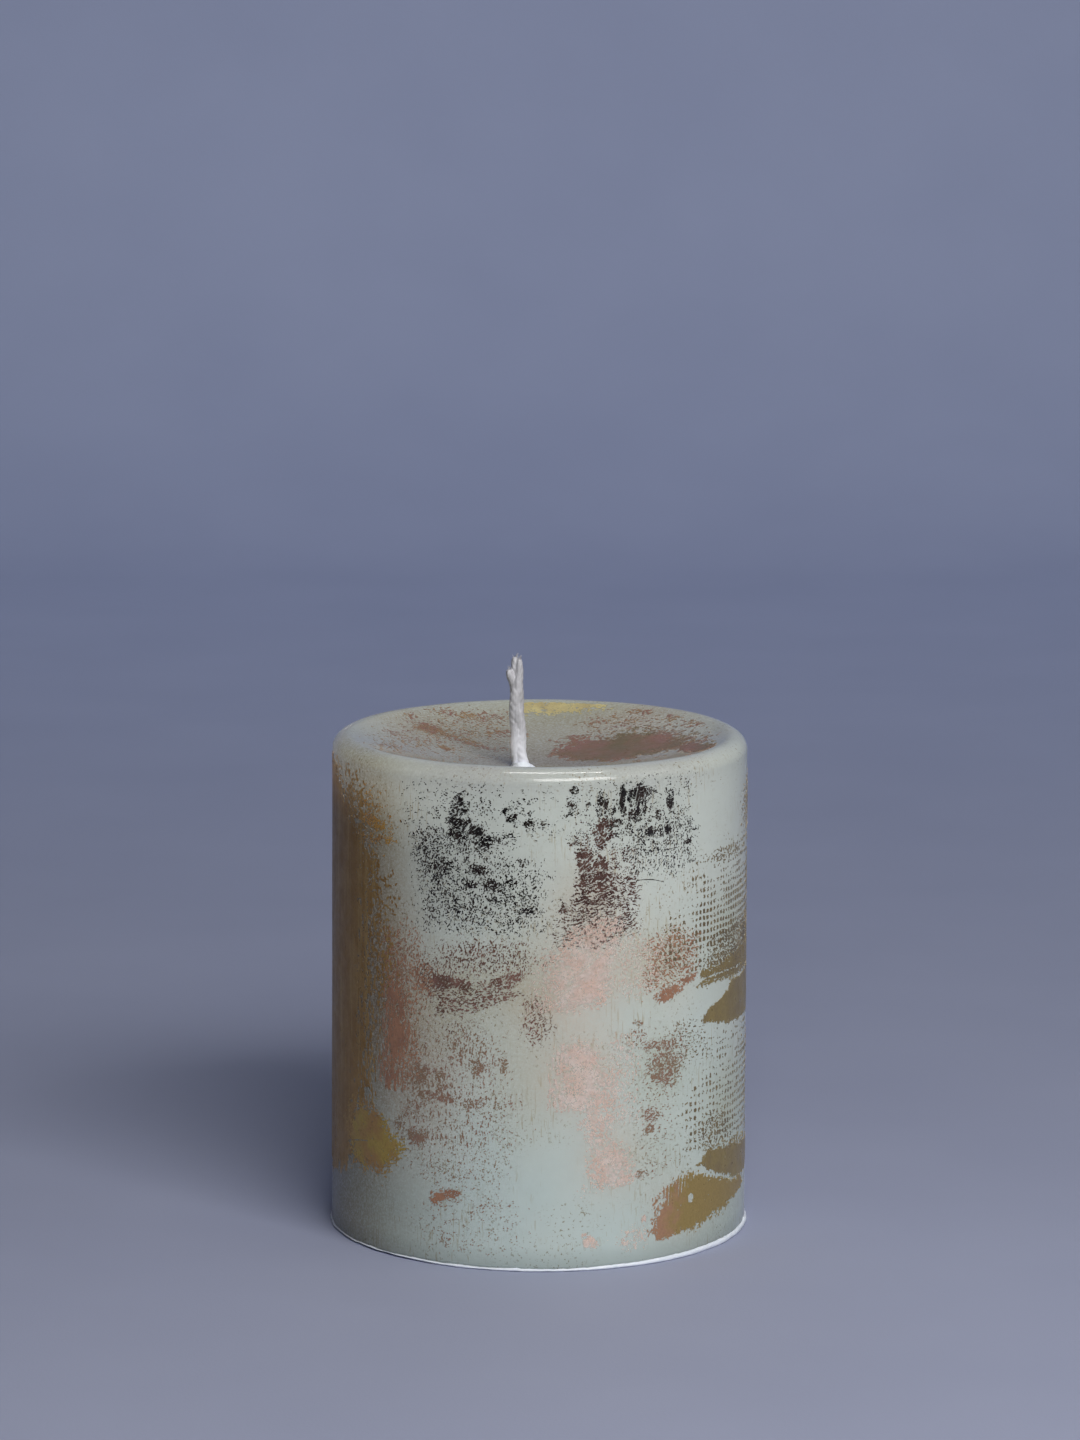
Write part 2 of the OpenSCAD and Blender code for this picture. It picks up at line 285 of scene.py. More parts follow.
def wax_rings(inset, foot, waved):
    """Rings up the side, over the shoulder and down the dish to the wick, on the skin at that depth."""
    low = [0.0, 0.25, 0.6, 1.1, 1.8, 3.0]
    side = np.linspace(4.5, SHOULDER_Z - 1.2, 48)
    arc = np.linspace(SHOULDER_Z, SHOULDER_Z + SHOULDER_R * BLEND_ANGLE, 22)
    rings = []
    for t in np.concatenate([low, side, [SHOULDER_Z - 0.5], arc]):
        # The torn foot lifts the lowest rings, up to 3 mm.
        lift = foot * (1 - min(t / low[-1], 1.0))
        r, z, nr, nz = side_profile(np.full(SEGMENTS, float(t)))
        depth = (side_wave(THETA, t) if waved else 0.0) - inset
        rings.append(round_ring(r + depth * nr, z + depth * nz + lift))
    # The rings crowd towards the wick.
    rings += [dish_ring(share**1.15, inset) for share in np.linspace(1, 0, 30)[1:]]
    return rings


# Leaf dust rubbed into the wax, too fine to be flakes, and a few spots of painted shade near the foot.
BROWN = (0.38, 0.27, 0.15)
UMBER = (0.56, 0.41, 0.25)
TAN = (0.74, 0.61, 0.42)
OLIVE = (0.70, 0.66, 0.48)
PINK = (1.0, 0.80, 0.70)
RUSSET = (0.80, 0.60, 0.48)
SMOKE = (0.66, 0.65, 0.61)
HAZE = (0.58, 0.51, 0.57)
# On the side: (angle, height, half width, half height, tint, amount).
DUST_AND_SHADE_ON_SIDE = [
    (-100, 46, 26, 46, BROWN, 0.95), (-72, 48, 10, 34, BROWN, 0.9), (-57, 50, 7, 29, UMBER, 1.0),
    (-52, 48, 7, 27, UMBER, 0.4), (-46, 56, 5, 18, TAN, 0.6), (-43, 43, 6, 18, RUSSET, 1.0),
    (-50, 77, 6, 9, TAN, 0.85), (-66, 79, 8, 6, UMBER, 0.6), (-31, 34, 7, 14, RUSSET, 0.6),
    (-26, 46, 9, 9, TAN, 0.5), (-30, 68, 9, 12, SMOKE, 0.45), (-14, 70, 9, 9, SMOKE, 0.28),
    (-18, 51, 11, 5, TAN, 0.45), (-3, 52, 6, 9, TAN, 0.4), (-5, 35, 7, 12, TAN, 0.35),
    (14, 66, 7, 7, RUSSET, 0.6), (13, 53, 9, 8, PINK, 0.85), (2, 47, 6, 4, PINK, 0.4),
    (12, 36, 8, 8, PINK, 0.85), (20, 20, 6, 7, PINK, 0.8), (27, 82, 10, 6, SMOKE, 0.4),
    (35, 54, 8, 6, TAN, 0.6), (35, 35, 6, 7, OLIVE, 0.5), (34, 20, 6, 6, OLIVE, 0.25),
    # The SMOKE spot at 60 degrees, 5 mm up, is painted shade on the lower right.
    (40, 9, 7, 6, RUSSET, 0.45), (66, 56, 9, 9, OLIVE, 0.5), (60, 5, 13, 9, SMOKE, 0.65),
    # The UMBER spot at -66 degrees and the SMOKE spot at -40 degrees, low down, are painted shade on the
    # shaded left side; the UMBER one is warm-tinted.
    (-66, 6, 16, 14, UMBER, 0.75), (-40, 10, 10, 12, SMOKE, 0.4), (-62, 90, 16, 5.5, SMOKE, 0.7),
    (-18, 90, 16, 4.5, HAZE, 0.6), (32, 90, 18, 4.5, HAZE, 0.55), (80, 90, 20, 5, SMOKE, 0.3),
    (64, 25, 9, 9, OLIVE, 0.55), (-120, 52, 16, 30, BROWN, 0.5), (176, 44, 14, 14, PINK, 0.5),
    (118, 46, 12, 30, OLIVE, 0.4),
]
# The same on the dish, placed by x and y.
DUST_ON_DISH = [
    (0, 0, 48, 48, SMOKE, 0.7), (0, 2, 22, 18, UMBER, 0.68), (6, 4, 18, 12, TAN, 0.5),
    (-18, 17, 12, 8, TAN, 0.7), (-24, 4, 7, 14, RUSSET, 0.3), (16, 6, 13, 13, RUSSET, 0.5),
    (18, 24, 10, 6, RUSSET, 0.4), (4, 28, 11, 4, OLIVE, 0.4), (0, 25, 34, 11, TAN, 0.55),
]


def dust(across, up, spots):
    """The colour that the dust and painted shade multiply the wax by, from soft oval spots."""
    tint = np.ones((*across.shape, 3))
    for x, y, half_x, half_y, colour, amount in spots:
        share = amount * np.exp(-(((across - x) / half_x) ** 2 + ((up - y) / half_y) ** 2))
        tint = tint * (1 - share[..., None] * (1 - np.array(colour)))
    return tint


def paint_dust(obj):
    """Stores the colour of the dust and painted shade on the wax, by its place on the side or on the dish."""
    co = np.empty(len(obj.data.vertices) * 3, np.float32)
    obj.data.vertices.foreach_get("co", co)
    x, y, z = (co.reshape(-1, 3) / MM).T
    spots = [(math.radians(angle) * FOOT_R, *rest) for angle, *rest in DUST_AND_SHADE_ON_SIDE]
    side = np.ones((len(x), 3))
    # A spot near the back reaches across the place where the angle jumps.
    for lap in (-TAU, 0, TAU):
        side *= dust((np.arctan2(x, -y) + lap) * FOOT_R, z, spots)
    on_top = smoothstep(SHOULDER_X + 1.2, SHOULDER_X - 0.6, np.hypot(x, y))[:, None]
    tint = side * (1 - on_top) + dust(x, y, DUST_ON_DISH) * on_top
    layer = obj.data.color_attributes.new("dust", "FLOAT_COLOR", "POINT")
    colours = np.concatenate([tint, np.ones((len(x), 1))], 1)
    layer.data.foreach_set("color", colours.astype(np.float32).ravel())


def build_overdip(material):
    """The sage wax: a closed skin with a torn edge at the foot and a hole for the wick."""
    edge = foot_edge()
    outer = wax_rings(0.0, edge, True)
    # The torn edge is rolled slightly under, so that its shadow shows above the white lip.
    outer[0] = round_ring(FOOT_R + side_wave(THETA, 0.0) - 0.12, edge)
    inner = wax_rings(SKIN_T - CLEAR, edge, False)
    obj = ring_body("wax_skin", outer + inner[::-1], material)
    paint_dust(obj)
    obj.data.set_sharp_from_angle(angle=math.radians(SHARP_ANGLE))
    place(obj, "wax_overdip")


def build_core(material):
    """The white wax: a solid body with a ragged lip at the foot, the tab's recess and the wick's way."""
    edge = foot_edge() - 0.015
    gap = lip_gap()
    lip_r = FOOT_R + lip_reach()
    foot = [
        (TAB_RECESS_R, 0.0),
        (30.0, 0.0),
        (FOOT_R - 1.6, 0.0),
        (FOOT_R - 0.5, gap * 0.35),
        (lip_r - 0.16, gap),
        (lip_r - 0.03, gap + 0.12),
        (lip_r, (gap + edge) / 2),
        (lip_r - 0.05, edge - 0.12),
        (lip_r - 0.2, edge - 0.01),
        (FOOT_R - SKIN_T - 0.01, edge),
    ]
    rings = [round_ring(r, z) for r, z in foot] + wax_rings(SKIN_T, edge, False)[1:]
    neck_top, recess_top = TAB_Z + NECK_H + 0.3, TAB_Z + TAB_T + CLEAR
    rings += [wick_ring(WICK_R + CLEAR, z) for z in (60.0, 30.0, TAB_Z + NECK_H + 0.4)]
    rings += [wick_ring(NECK_R + CLEAR, z) for z in (neck_top, recess_top)]
    rings.append(round_ring(TAB_RECESS_R, recess_top))
    obj = ring_body("wax_body", rings, material)
    obj.data.set_sharp_from_angle(angle=math.radians(SHARP_ANGLE))
    place(obj, "wax_core")


def on_wick(along, right, back):
    """A point along mm up the wick's line from the tab, and right and back mm off it."""
    lean_s, lean_c = math.sin(WICK_LEAN), math.cos(WICK_LEAN)
    x, z = right * lean_c - along * lean_s, TAB_Z + along * lean_c + right * lean_s
    return np.stack([x, back + 0 * along, z], -1)


def build_collar(material):
    """The bead of wax round the wick's foot: lumpy, with a small run of wax to the right."""
    phi = np.arange(72) * TAU / 72
    run = np.maximum(np.sin(phi), 0) ** 6
    front = np.maximum(-np.cos(phi), 0)

    def ring(x, reach, z):
        return np.stack([WICK_EXIT_X + x + reach * np.sin(phi), -reach * np.cos(phi), z + 0 * phi], -1)

    bead = []
    # The bead swells at its foot, where share is 0, and thins to a fillet up the wick.
    for share in np.arange(14) / 13:
        reach = 1.52 + 0.42 * (1 - share) ** 1.7 + 0.1 * np.sin(3 * phi + 1.0) * (1 - share)
        reach = reach + 0.7 * run * (1 - share) ** 0.8 + 0.08 * front * (1 - share)
        reach = reach + 0.06 * gradient_noise(phi * 3.2, phi * 0 + 2.2 * share, 21)
        z = WICK_SEAT_Z + 0.12 + 1.15 * share + 0.12 * np.sin(2 * phi + 0.4) * share
        z = z + 0.05 * gradient_noise(phi * 4.1, phi * 0 + 1.7 * share, 22)
        z = z + (0.25 - z + WICK_SEAT_Z) * run * share * 0.75
        drift = -(z - WICK_SEAT_Z) * math.tan(WICK_LEAN)
        bead.append(ring(drift, np.maximum(reach, 1.46), z))
    seat, hidden_r = WICK_SEAT_Z - 0.1, 1.7
    inside = [ring(-0.05, WICK_R, bead[-1][:, 2] - 0.06), ring(0.0, WICK_R, seat)]
    rings = [ring(0.0, hidden_r, seat), *bead, *inside]
    place(ring_body("collar_bead", rings, material), "wick_collar")


# ---------- the wick ----------


def tube(path, radii, sides, ridge=0.0, twist=0.0):
    """Points, quads and end triangles of a closed tube along path, with twisted ridges where asked."""
    along = np.gradient(path, axis=0)
    along /= np.linalg.norm(along, axis=1)[:, None]
    across = np.cross(along, [0.0, 1.0, 0.0])
    across /= np.linalg.norm(across, axis=1)[:, None]
    depth = np.cross(along, across)
    run = np.concatenate([[0], np.cumsum(np.linalg.norm(np.diff(path, axis=0), axis=1))])
    phi = np.arange(sides) * TAU / sides
    shape = radii[:, None] * (1 + ridge * np.cos(4 * (phi[None, :] - twist * run[:, None])))
    sideways = across[:, None, :] * (shape * np.cos(phi))[..., None]
    rings = path[:, None, :] + sideways + depth[:, None, :] * (shape * np.sin(phi))[..., None]
    count = len(path)
    quads = ring_quads(count, sides, closed=False)[:, ::-1]
    j = np.arange(sides)
    k, centre = (j + 1) % sides, np.full(sides, count * sides)
    top = (count - 1) * sides
    ends = np.concatenate([np.stack([k, j, centre], -1), np.stack([centre + 1, top + k, top + j], -1)])
    return np.concatenate([rings.reshape(-1, 3), path[:1], path[-1:]]), quads, ends


def round_ends(radius, steps):
    """Radii that close both ends of a tube to rounded stubs over the given number of steps."""
    radius = radius.copy()
    for i in range(steps):
        radius[[i, -1 - i]] *= math.sqrt(1 - (1 - (i + 0.35) / steps) ** 2)
    return radius


# Each yarn: how far below the tip it ends, where it ends across and behind the wick's line, and its size.
YARNS = [
    {"short": 2.15, "right": -1.22, "back": -0.1, "size": 0.34},
    {"short": 0.0, "right": -0.2, "back": 0.5, "size": 0.52},
    {"short": 0.3, "right": 0.6, "back": 0.0, "size": 0.4},
]
BRAID_PITCH = 21.0
# Half the braid's width, and a yarn's radius, at some heights above the wax.
BRAID_WIDTH = ([0, 1.2, 9, 13.5, WICK_BARE], [0.46, 0.5, 0.46, 0.36, 0.36])
YARN_HEIGHTS = [0, 1.0, 3.5, 9.5, 13.5, WICK_BARE - 4, WICK_BARE]
YARN_RADII = [0.8, 1.0, 1.03, 1.0, 0.93, 0.86]


def yarn_path(yarn, phase):
    """A yarn's line: plaited flat with the others, then spread near the cut tip."""
    end = WICK_END - yarn["short"]
    along = np.linspace(0.15, end, int(end / 0.2))
    turn = along / BRAID_PITCH * TAU + phase
    bare = np.clip(along - WICK_RUN, 0, None)
    right = np.interp(bare, *BRAID_WIDTH) * np.sin(turn)
    spread = smoothstep(WICK_END - 5.2, WICK_END - 2.4, along)
    right = right * (1 - spread) + yarn["right"] * spread
    back = 0.2 * np.sin(2 * turn) * (1 - spread) + yarn["back"] * spread
    # The bare wick bows very slightly to the left.
    bow = -0.22 * smoothstep(0, 3, bare) - 0.2 * np.sin(np.clip(bare / WICK_BARE, 0, 1) * math.pi)
    return along, bare, on_wick(along, right + bow, back)


def build_wick(material):
    """Three waxed yarns plaited flat, one body of mesh, with a few loose fibres at the cut tip."""
    parts = []
    for i, yarn in enumerate(YARNS):
        along, bare, path = yarn_path(yarn, i * TAU / 3)
        radius = np.interp(bare, YARN_HEIGHTS, [*YARN_RADII, yarn["size"] + 0.05])
        radius = radius * (1 + 0.04 * gradient_noise(along / 2.6, along * 0 + 3.3 * i, 41))
        parts.append(tube(path, round_ends(radius, 4), 22, 0.045, -1.1 if i == 1 else 1.1))
    obj = make_tubes("wick_yarns", parts, material)
    fuse(obj, 0.11)
    fibres = make_tubes("fibres", tip_fibres(), material)
    bpy.ops.object.select_all(action="DESELECT")
    obj.select_set(True)
    fibres.select_set(True)
    bpy.context.view_layer.objects.active = obj
    bpy.ops.object.join()
    place(obj, "wick_braid")


def make_tubes(name, parts, material):
    """One object from several tubes."""
    points, quads, ends = zip(*parts, strict=True)
    first = np.cumsum([0, *map(len, points[:-1])])
    loops = []
    for faces in (quads, ends):
        loops.append(np.concatenate([part + start for part, start in zip(faces, first, strict=True)]))
    return make_object(name, np.concatenate(points), loops, material, smooth=True)


def fuse(obj, voxel):
    """Runs the yarns into one skin, as the wax does, and evens out the steps of the remesh."""
    remesh = obj.modifiers.new("fuse", "REMESH")
    remesh.mode = "VOXEL"
    remesh.voxel_size = voxel * MM
    remesh.use_smooth_shade = True
    even = obj.modifiers.new("even", "SMOOTH")
    even.factor = 0.5
    even.iterations = 3
    graph = bpy.context.evaluated_depsgraph_get()
    mesh = bpy.data.meshes.new_from_object(obj.evaluated_get(graph))
    obj.modifiers.clear()
    old = obj.data
    mesh.materials.clear()
    mesh.materials.append(old.materials[0])
    obj.data = mesh
    bpy.data.meshes.remove(old)


def tip_fibres():
    """Fine broken fibres that stand out of the cut tips."""
    rng = np.random.default_rng(77)
    step = np.linspace(0, 1, 6)
    fibres = []
    for yarn in YARNS:
        end = WICK_END - yarn["short"]
        for _ in range(9):
            angle = rng.random() * TAU
            start = 0.32 * math.sqrt(rng.random())
            length = 0.35 + 0.5 * rng.random()
            splay = 0.12 + 0.35 * rng.random()
            away = start + splay * step**1.6
            right = yarn["right"] - 0.16 + np.cos(angle) * away
            path = on_wick(end - 0.3 + (length + 0.2) * step, right, yarn["back"] + np.sin(angle) * away)
            fibres.append(tube(path, 0.045 * (1 - 0.6 * step), 6))
    return fibres


# ---------- metal leaf ----------

# The faces of one grid cell for each mix of covered corners.
# a, b, c and d are the corners at (0, 0), (1, 0),
# (1, 1) and (0, 1), which count 1, 2, 4 and 8, and p, q, r and s the cuts on the edges ab, bc, dc and ad.
CELL_FACES = ["", "aps", "bqp", "abqs", "crq", "aps crq", "bcrp", "abcrs"]
CELL_FACES += ["dsr", "aprd", "bqp dsr", "abqrd", "cdsq", "apqcd", "bcdsp", "abcd"]
CUTS = "pqrs"
# The value of a field where there is no leaf, just below the 0 at which it is cut.
BARE = -0.02


def cut_field(field, u, v):
    """Cuts the outline where field crosses 0 on the grid u by v: points, faces by size and outline edges."""
    inside = field > 0
    grid_u, grid_v = np.meshgrid(u, v, indexing="ij")
    corner = np.cumsum(inside.ravel()).reshape(inside.shape) - 1
    points = [np.stack([grid_u[inside], grid_v[inside]], -1)]
    count = int(inside.sum())
    edges = []
    for di, dj in ((1, 0), (0, 1)):
        near, far = (field[:-1], field[1:]) if di else (field[:, :-1], field[:, 1:])
        cut = (near > 0) != (far > 0)
        share = np.clip(near[cut] / (near[cut] - far[cut]), 0.15, 0.85)
        i, j = np.nonzero(cut)
        at_u = u[i] + (u[i + di] - u[i]) * share
        points.append(np.stack([at_u, v[j] + (v[j + dj] - v[j]) * share], -1))
        index = np.zeros(cut.shape, int)
        index[cut] = count + np.arange(len(i))
        count += len(i)
        edges.append(index)
    flat, upright = edges
    ids = {"a": corner[:-1, :-1], "b": corner[1:, :-1], "c": corner[1:, 1:], "d": corner[:-1, 1:]}
    ids |= {"p": flat[:, :-1], "q": upright[1:, :], "r": flat[:, 1:], "s": upright[:-1, :]}
    case = inside[:-1, :-1] + 2 * inside[1:, :-1] + 4 * inside[1:, 1:] + 8 * inside[:-1, 1:]
    faces, outline = {}, []
    for number, shapes in enumerate(CELL_FACES):
        cells = case == number
        if not cells.any():
            continue
        for shape in shapes.split():
            columns = [ids[letter][cells] for letter in shape]
            faces.setdefault(len(shape), []).append(np.stack(columns, -1))
            for here, there in zip(range(len(shape)), [*range(1, len(shape)), 0], strict=True):
                if shape[here] in CUTS and shape[there] in CUTS:
                    outline.append(np.stack([columns[here], columns[there]], -1))
    grouped = [np.concatenate(group) for _, group in sorted(faces.items())]
    return np.concatenate(points), grouped, np.concatenate(outline)


def drop_crumbs(field, smallest):
    """Clears the covered spots of fewer grid points than smallest, by growing labels over each spot."""
    inside = field > 0
    label = np.where(inside, np.arange(field.size).reshape(field.shape) + 1, 0)
    # Only spots this small matter, so as many spreading steps as the limit are enough to label them.
    for _ in range(smallest + 1):
        grown = label.copy()
        for new, old in ((grown, label), (grown.T, label.T)):
            new[1:] = np.maximum(new[1:], old[:-1])
            new[:-1] = np.maximum(new[:-1], old[1:])
        label = np.where(inside, grown, 0)
    small = inside & (np.bincount(label.ravel())[label] < smallest)
    # A big spot's far parts can still hold many labels, so a point that touches another label stays.
    for labels, covered, kept in ((label, inside, small), (label.T, inside.T, small.T)):
        differs = (labels[1:] != labels[:-1]) & covered[1:] & covered[:-1]
        kept[1:] &= ~differs
        kept[:-1] &= ~differs
    return np.where(small, BARE, field)


def outline_distance(u, v, corners):
    """Signed distance in mm from each point to a closed outline, positive inside it."""
    corners = np.asarray(corners, float)
    nearest = np.full(u.shape, 1e9)
    inside = np.zeros(u.shape, bool)
    for (x0, y0), (x1, y1) in zip(corners, np.roll(corners, -1, axis=0), strict=True):
        dx, dy = x1 - x0, y1 - y0
        share = np.clip(((u - x0) * dx + (v - y0) * dy) / (dx * dx + dy * dy), 0, 1)
        nearest = np.minimum(nearest, np.hypot(u - x0 - share * dx, v - y0 - share * dy))
        crosses = (y0 > v) != (y1 > v)
        at = x0 + (v - y0) * dx / (dy if dy else 1e-9)
        inside ^= crosses & (u < at)
    return np.where(inside, nearest, -nearest)


def line_distance(u, v, start, end, bow):
    """Distance in mm to a line that bows sideways by that many mm at its middle."""
    (u0, v0), (u1, v1) = start, end
    length = math.hypot(u1 - u0, v1 - v0)
    au, av = (u1 - u0) / length, (v1 - v0) / length
    along = (u - u0) * au + (v - v0) * av
    off = (v - v0) * au - (u - u0) * av
    share = np.clip(along / length, 0, 1)
    beyond = np.maximum(np.maximum(-along, along - length), 0)
    return np.hypot(off - bow * 4 * share * (1 - share), beyond)


# name: octaves of (width, height, weight) in mm, the lean in degrees, and how strongly fine lines cross it
GRAINS = {
    "speck": ([(1.5, 1.1, 0.45), (0.5, 0.22, 0.7), (0.23, 0.16, 0.75)], 8, 0.45),
    "flake": ([(1.3, 1.3, 0.7), (0.42, 0.3, 0.6), (0.22, 0.17, 0.55)], 0, 1.1),
    "stroke": ([(1.2, 0.4, 0.7), (0.46, 0.18, 0.75), (0.21, 0.15, 0.55)], 32, 0.75),
    "brush": ([(1.5, 0.2, 0.9), (0.65, 0.14, 0.75), (0.24, 0.17, 0.45)], 4, 0.5),
    "streak": ([(0.3, 3.6, 1.0), (0.3, 1.0, 0.7), (0.24, 0.26, 0.5)], 0, 0.3),
    "dash": ([(0.7, 0.26, 1.0), (0.34, 0.16, 0.65), (0.2, 0.16, 0.45)], 0, 0.3),
    "tick": ([(0.24, 0.66, 0.9), (0.18, 0.32, 0.75), (0.18, 0.18, 0.45)], -14, 0.4),
    "sheet": ([(2.4, 2.4, 0.5), (0.8, 0.8, 0.45), (0.3, 0.3, 0.55)], 0, 0.6),
}
# Fine lines in the leaf: (turn in degrees, length and width of the noise in mm, 1 bare or -1 covered).
LINES = [(32, 1.7, 0.5, 1), (-47, 1.5, 0.44, 1), (78, 1.3, 0.48, 1), (14, 1.4, 0.4, -1), (-62, 1.2, 0.4, -1)]
LINE_WIDTH = 0.11


def line_noise(u, v, seed):
    """Thin crossing lines, positive where the leaf breaks and negative where a thread of it stays."""
    total = 0.0
    for i, (turn, length, width, side) in enumerate(LINES):
        ridge = grain_noise(u, v, [(length, width, 1.0)], seed + 211 * (i + 1), turn)
        total = total + side * np.exp(-((ridge / LINE_WIDTH) ** 2))
    return total


def gauze_cover(u, v, pitch_u, pitch_v, lean, seed):
    """How open the print of a gauze cloth is at each point: 1 in the gaps between threads and 0 on them."""
    warp_u = 0.16 * gradient_noise(u / 3.1, v / 3.7, seed) + 0.1 * gradient_noise(u / 1.1, v / 1.3, seed + 1)
    warp_v = 0.18 * gradient_noise(u / 3.5 + 7, v / 2.9, seed + 2)
    warp_v = warp_v + 0.1 * gradient_noise(u / 1.2, v / 1.0, seed + 3)
    a, b = (u + warp_u) / pitch_u, (v + warp_v + lean * u) / pitch_v
    gap_u, gap_v = (np.abs(x - np.floor(x) - 0.5) * 2 for x in (a, b))
    return smoothstep(0.72, 0.38, gap_u) * smoothstep(0.74, 0.4, gap_v)


class Leaf:
    """One patch of leaf: where it covers the wax, in arc mm from the patch's middle and mm up the side."""

    def __init__(self, middle, across, up, step, seed):
        self.middle = middle
        self.seed = seed
        self.u = np.arange(*map(self.arc, across), step)
        self.v = np.arange(*up, step)
        self.grid_u, self.grid_v = np.meshgrid(self.u, self.v, indexing="ij")
        self.field = np.full(self.grid_u.shape, -1.0)
        self.warp = 0.45 * self.waves(2.4, 2.1, 101) + 0.28 * self.waves(0.9, 0.8, 102)
        self.noise = {}

    def arc(self, angle):
        return math.radians(angle - self.middle) * FOOT_R

    def surface(self, u, v):
        return side_surface(self.middle)(u, v)

    def waves(self, width, height, seed):
        """Smooth noise over the patch, with features of that many mm."""
        return gradient_noise(self.grid_u / width, self.grid_v / height, self.seed + seed)

    def grain(self, name, lean=None):
        """The evenly spread noise of one kind of rubbing, made once for the patch."""
        key = (name, lean)
        if key not in self.noise:
            octaves, own_lean, lines = GRAINS[name]
            own = 7 * len(name)
            seed = self.seed + own
            # The grain's direction wanders, as the strokes of a hand do.
            flow_u = self.grid_u + 0.32 * self.waves(2.1, 1.9, own + 3)
            flow_v = self.grid_v + 0.5 * self.waves(1.7, 2.0, own + 4)
            values = grain_noise(flow_u, flow_v, octaves, seed, own_lean if lean is None else lean)
            self.noise[key] = ranked(values + lines * line_noise(self.grid_u, self.grid_v, seed))
        return self.noise[key]

    def add(self, cover, grain, lean=None):
        """Adds leaf where cover, from 0 to 1, is above the grain's noise."""
        self.field = np.maximum(self.field, cover - self.grain(grain, lean))

    def inset(self, corners, ragged):
        """How far each point is inside an outline of (angle, height) corners with ragged edges."""
        shape = [(self.arc(angle), z) for angle, z in corners]
        return outline_distance(self.grid_u, self.grid_v, shape) + self.warp * ragged

    def dabs(self, grain, soft, rows, lean=None):
        """Oval dabs, each (angle, height, half width, half height, cover, turn)."""
        cover = np.zeros(self.grid_u.shape)
        for angle, z, half_u, half_v, share, *turn in rows:
            du, dv = self.grid_u - self.arc(angle), self.grid_v - z
            along, up = turned(du, dv, math.radians(turn[0] if turn else 0.0))
            edge = np.hypot(along / half_u, up / half_v) + self.warp / min(half_u, half_v, 2.2) * 0.6
            cover = np.maximum(cover, share * smoothstep(1 + soft, 1 - soft, edge))
        self.add(cover, grain, lean)

    def fading(self, full, gone, cover):
        """A cover that thins out from one angle to another."""
        return cover * smoothstep(self.arc(gone), self.arc(full), self.grid_u)

    def outline(self, grain, cover, soft, ragged, corners, lean=None):
        """A patch with a drawn outline of (angle, height) corners, and edges that fade over soft mm."""
        self.add(cover * smoothstep(-soft, soft, self.inset(corners, ragged)), grain, lean)

    def gauze(self, cover, pitch_u, pitch_v, slope, corners):
        """The print of a gauze cloth inside an outline."""
        open_share = gauze_cover(self.grid_u, self.grid_v, pitch_u, pitch_v, slope, self.seed + 60)
        patchy = 0.75 + 0.5 * self.waves(4.5, 4.0, 61)
        share = cover * patchy * smoothstep(-2.5, 2.5, self.inset(corners, 2))
        self.add(share * open_share * 1.6, "speck")

    def bare(self, soft, ragged, corners):
        """Rubs the leaf off inside an outline."""
        self.field = np.minimum(self.field, -self.inset(corners, ragged) / soft)

    def clear_of(self, start, end, width, bow):
        """How far each point is from a line between two (angle, height) points, past that width."""
        ends = [(self.arc(angle), z) for angle, z in (start, end)]
        return line_distance(self.grid_u, self.grid_v, *ends, bow) - width

    def scratch(self, start, end, width, bow=0.0):
        """Rubs a thin line of leaf off between two (angle, height) points."""
        width = width * (1 + 0.5 * self.waves(0.9, 0.9, 71))
        self.field = np.minimum(self.field, self.clear_of(start, end, width, bow) * 3)

    def line(self, start, end, width, bow=0.0):
        """A thin line of leaf between two (angle, height) points."""
        width = width * (1 + 0.8 * self.waves(0.8, 0.8, 72))
        self.field = np.maximum(self.field, -self.clear_of(start, end, width, bow) * 3)

    def build(self, name, material, slot, lift, crumb):
        """The patch as thin closed flakes that lie on the wax."""
        field = drop_crumbs(self.field, crumb)
        for edge in (field[0], field[-1], field[:, 0], field[:, -1]):
            edge[...] = np.minimum(edge, BARE)
        points, faces, outline = cut_field(field, self.u, self.v)
        u, v = points.T
        base, normal = self.surface(u, v)
        crease = gradient_noise(u / 1.3, v / 1.1, self.seed + 81)
        crease = crease + 0.5 * gradient_noise(u / 0.5, v / 0.6, self.seed + 82)
        top = base + normal * (lift + LEAF_CREASE * crease)[:, None]
        under = base - normal * LEAF_SINK
        n = len(points)
        near, far = outline.T
        walls = np.stack([far, near, near + n, far + n], -1)
        loops = faces + [face[:, ::-1] + n for face in faces] + [walls]
        sheet = make_object("foil_" + name, np.concatenate([top, under]), loops, material)
        place(sheet, "leaf_" + name)


class TopLeaf(Leaf):
    """A patch of leaf on the dished top. The first number of each of its places is x in mm, the second y."""

    def arc(self, x):
        return x

    def surface(self, x, y):
        return dish_surface(x, y)

    def build(self, *args):
        """Keeps the patch inside the dish, then builds it as any other."""
        self.field = np.minimum(self.field, BLEND_X - RIM_GAP - np.hypot(self.grid_u, self.grid_v))
        super().build(*args)


LEAF_CREASE = 0.008
LEAF_SINK = 0.03
RIM_GAP = 0.35


def slits(leaf, count, first, pitch, run):
    """A row of fine slanting scratches in a patch, as from the hairs of a brush."""
    for i in range(count):
        angle = first[0] + pitch[0] * i + 0.4 * math.sin(3.7 * i)
        z = first[1] + pitch[1] * i + 0.8 * math.sin(2.3 * i + 1)
        leaf.scratch((angle, z), (angle + run[0], z + run[1] * (0.7 + 0.3 * math.sin(1.7 * i))), 0.045)


def comb(leaf, count, first, pitch, length, width):
    """Upright scratches side by side, as left by a coarse brush."""
    for i in range(count):
        angle, z = first[0] + pitch[0] * i, first[1] + pitch[1] * i + 0.6 * math.sin(2.1 * i)
        leaf.scratch((angle, z), (angle + 0.5, z + length), width * (0.7 + 0.3 * math.sin(1.3 * i)))


LEAVES = []


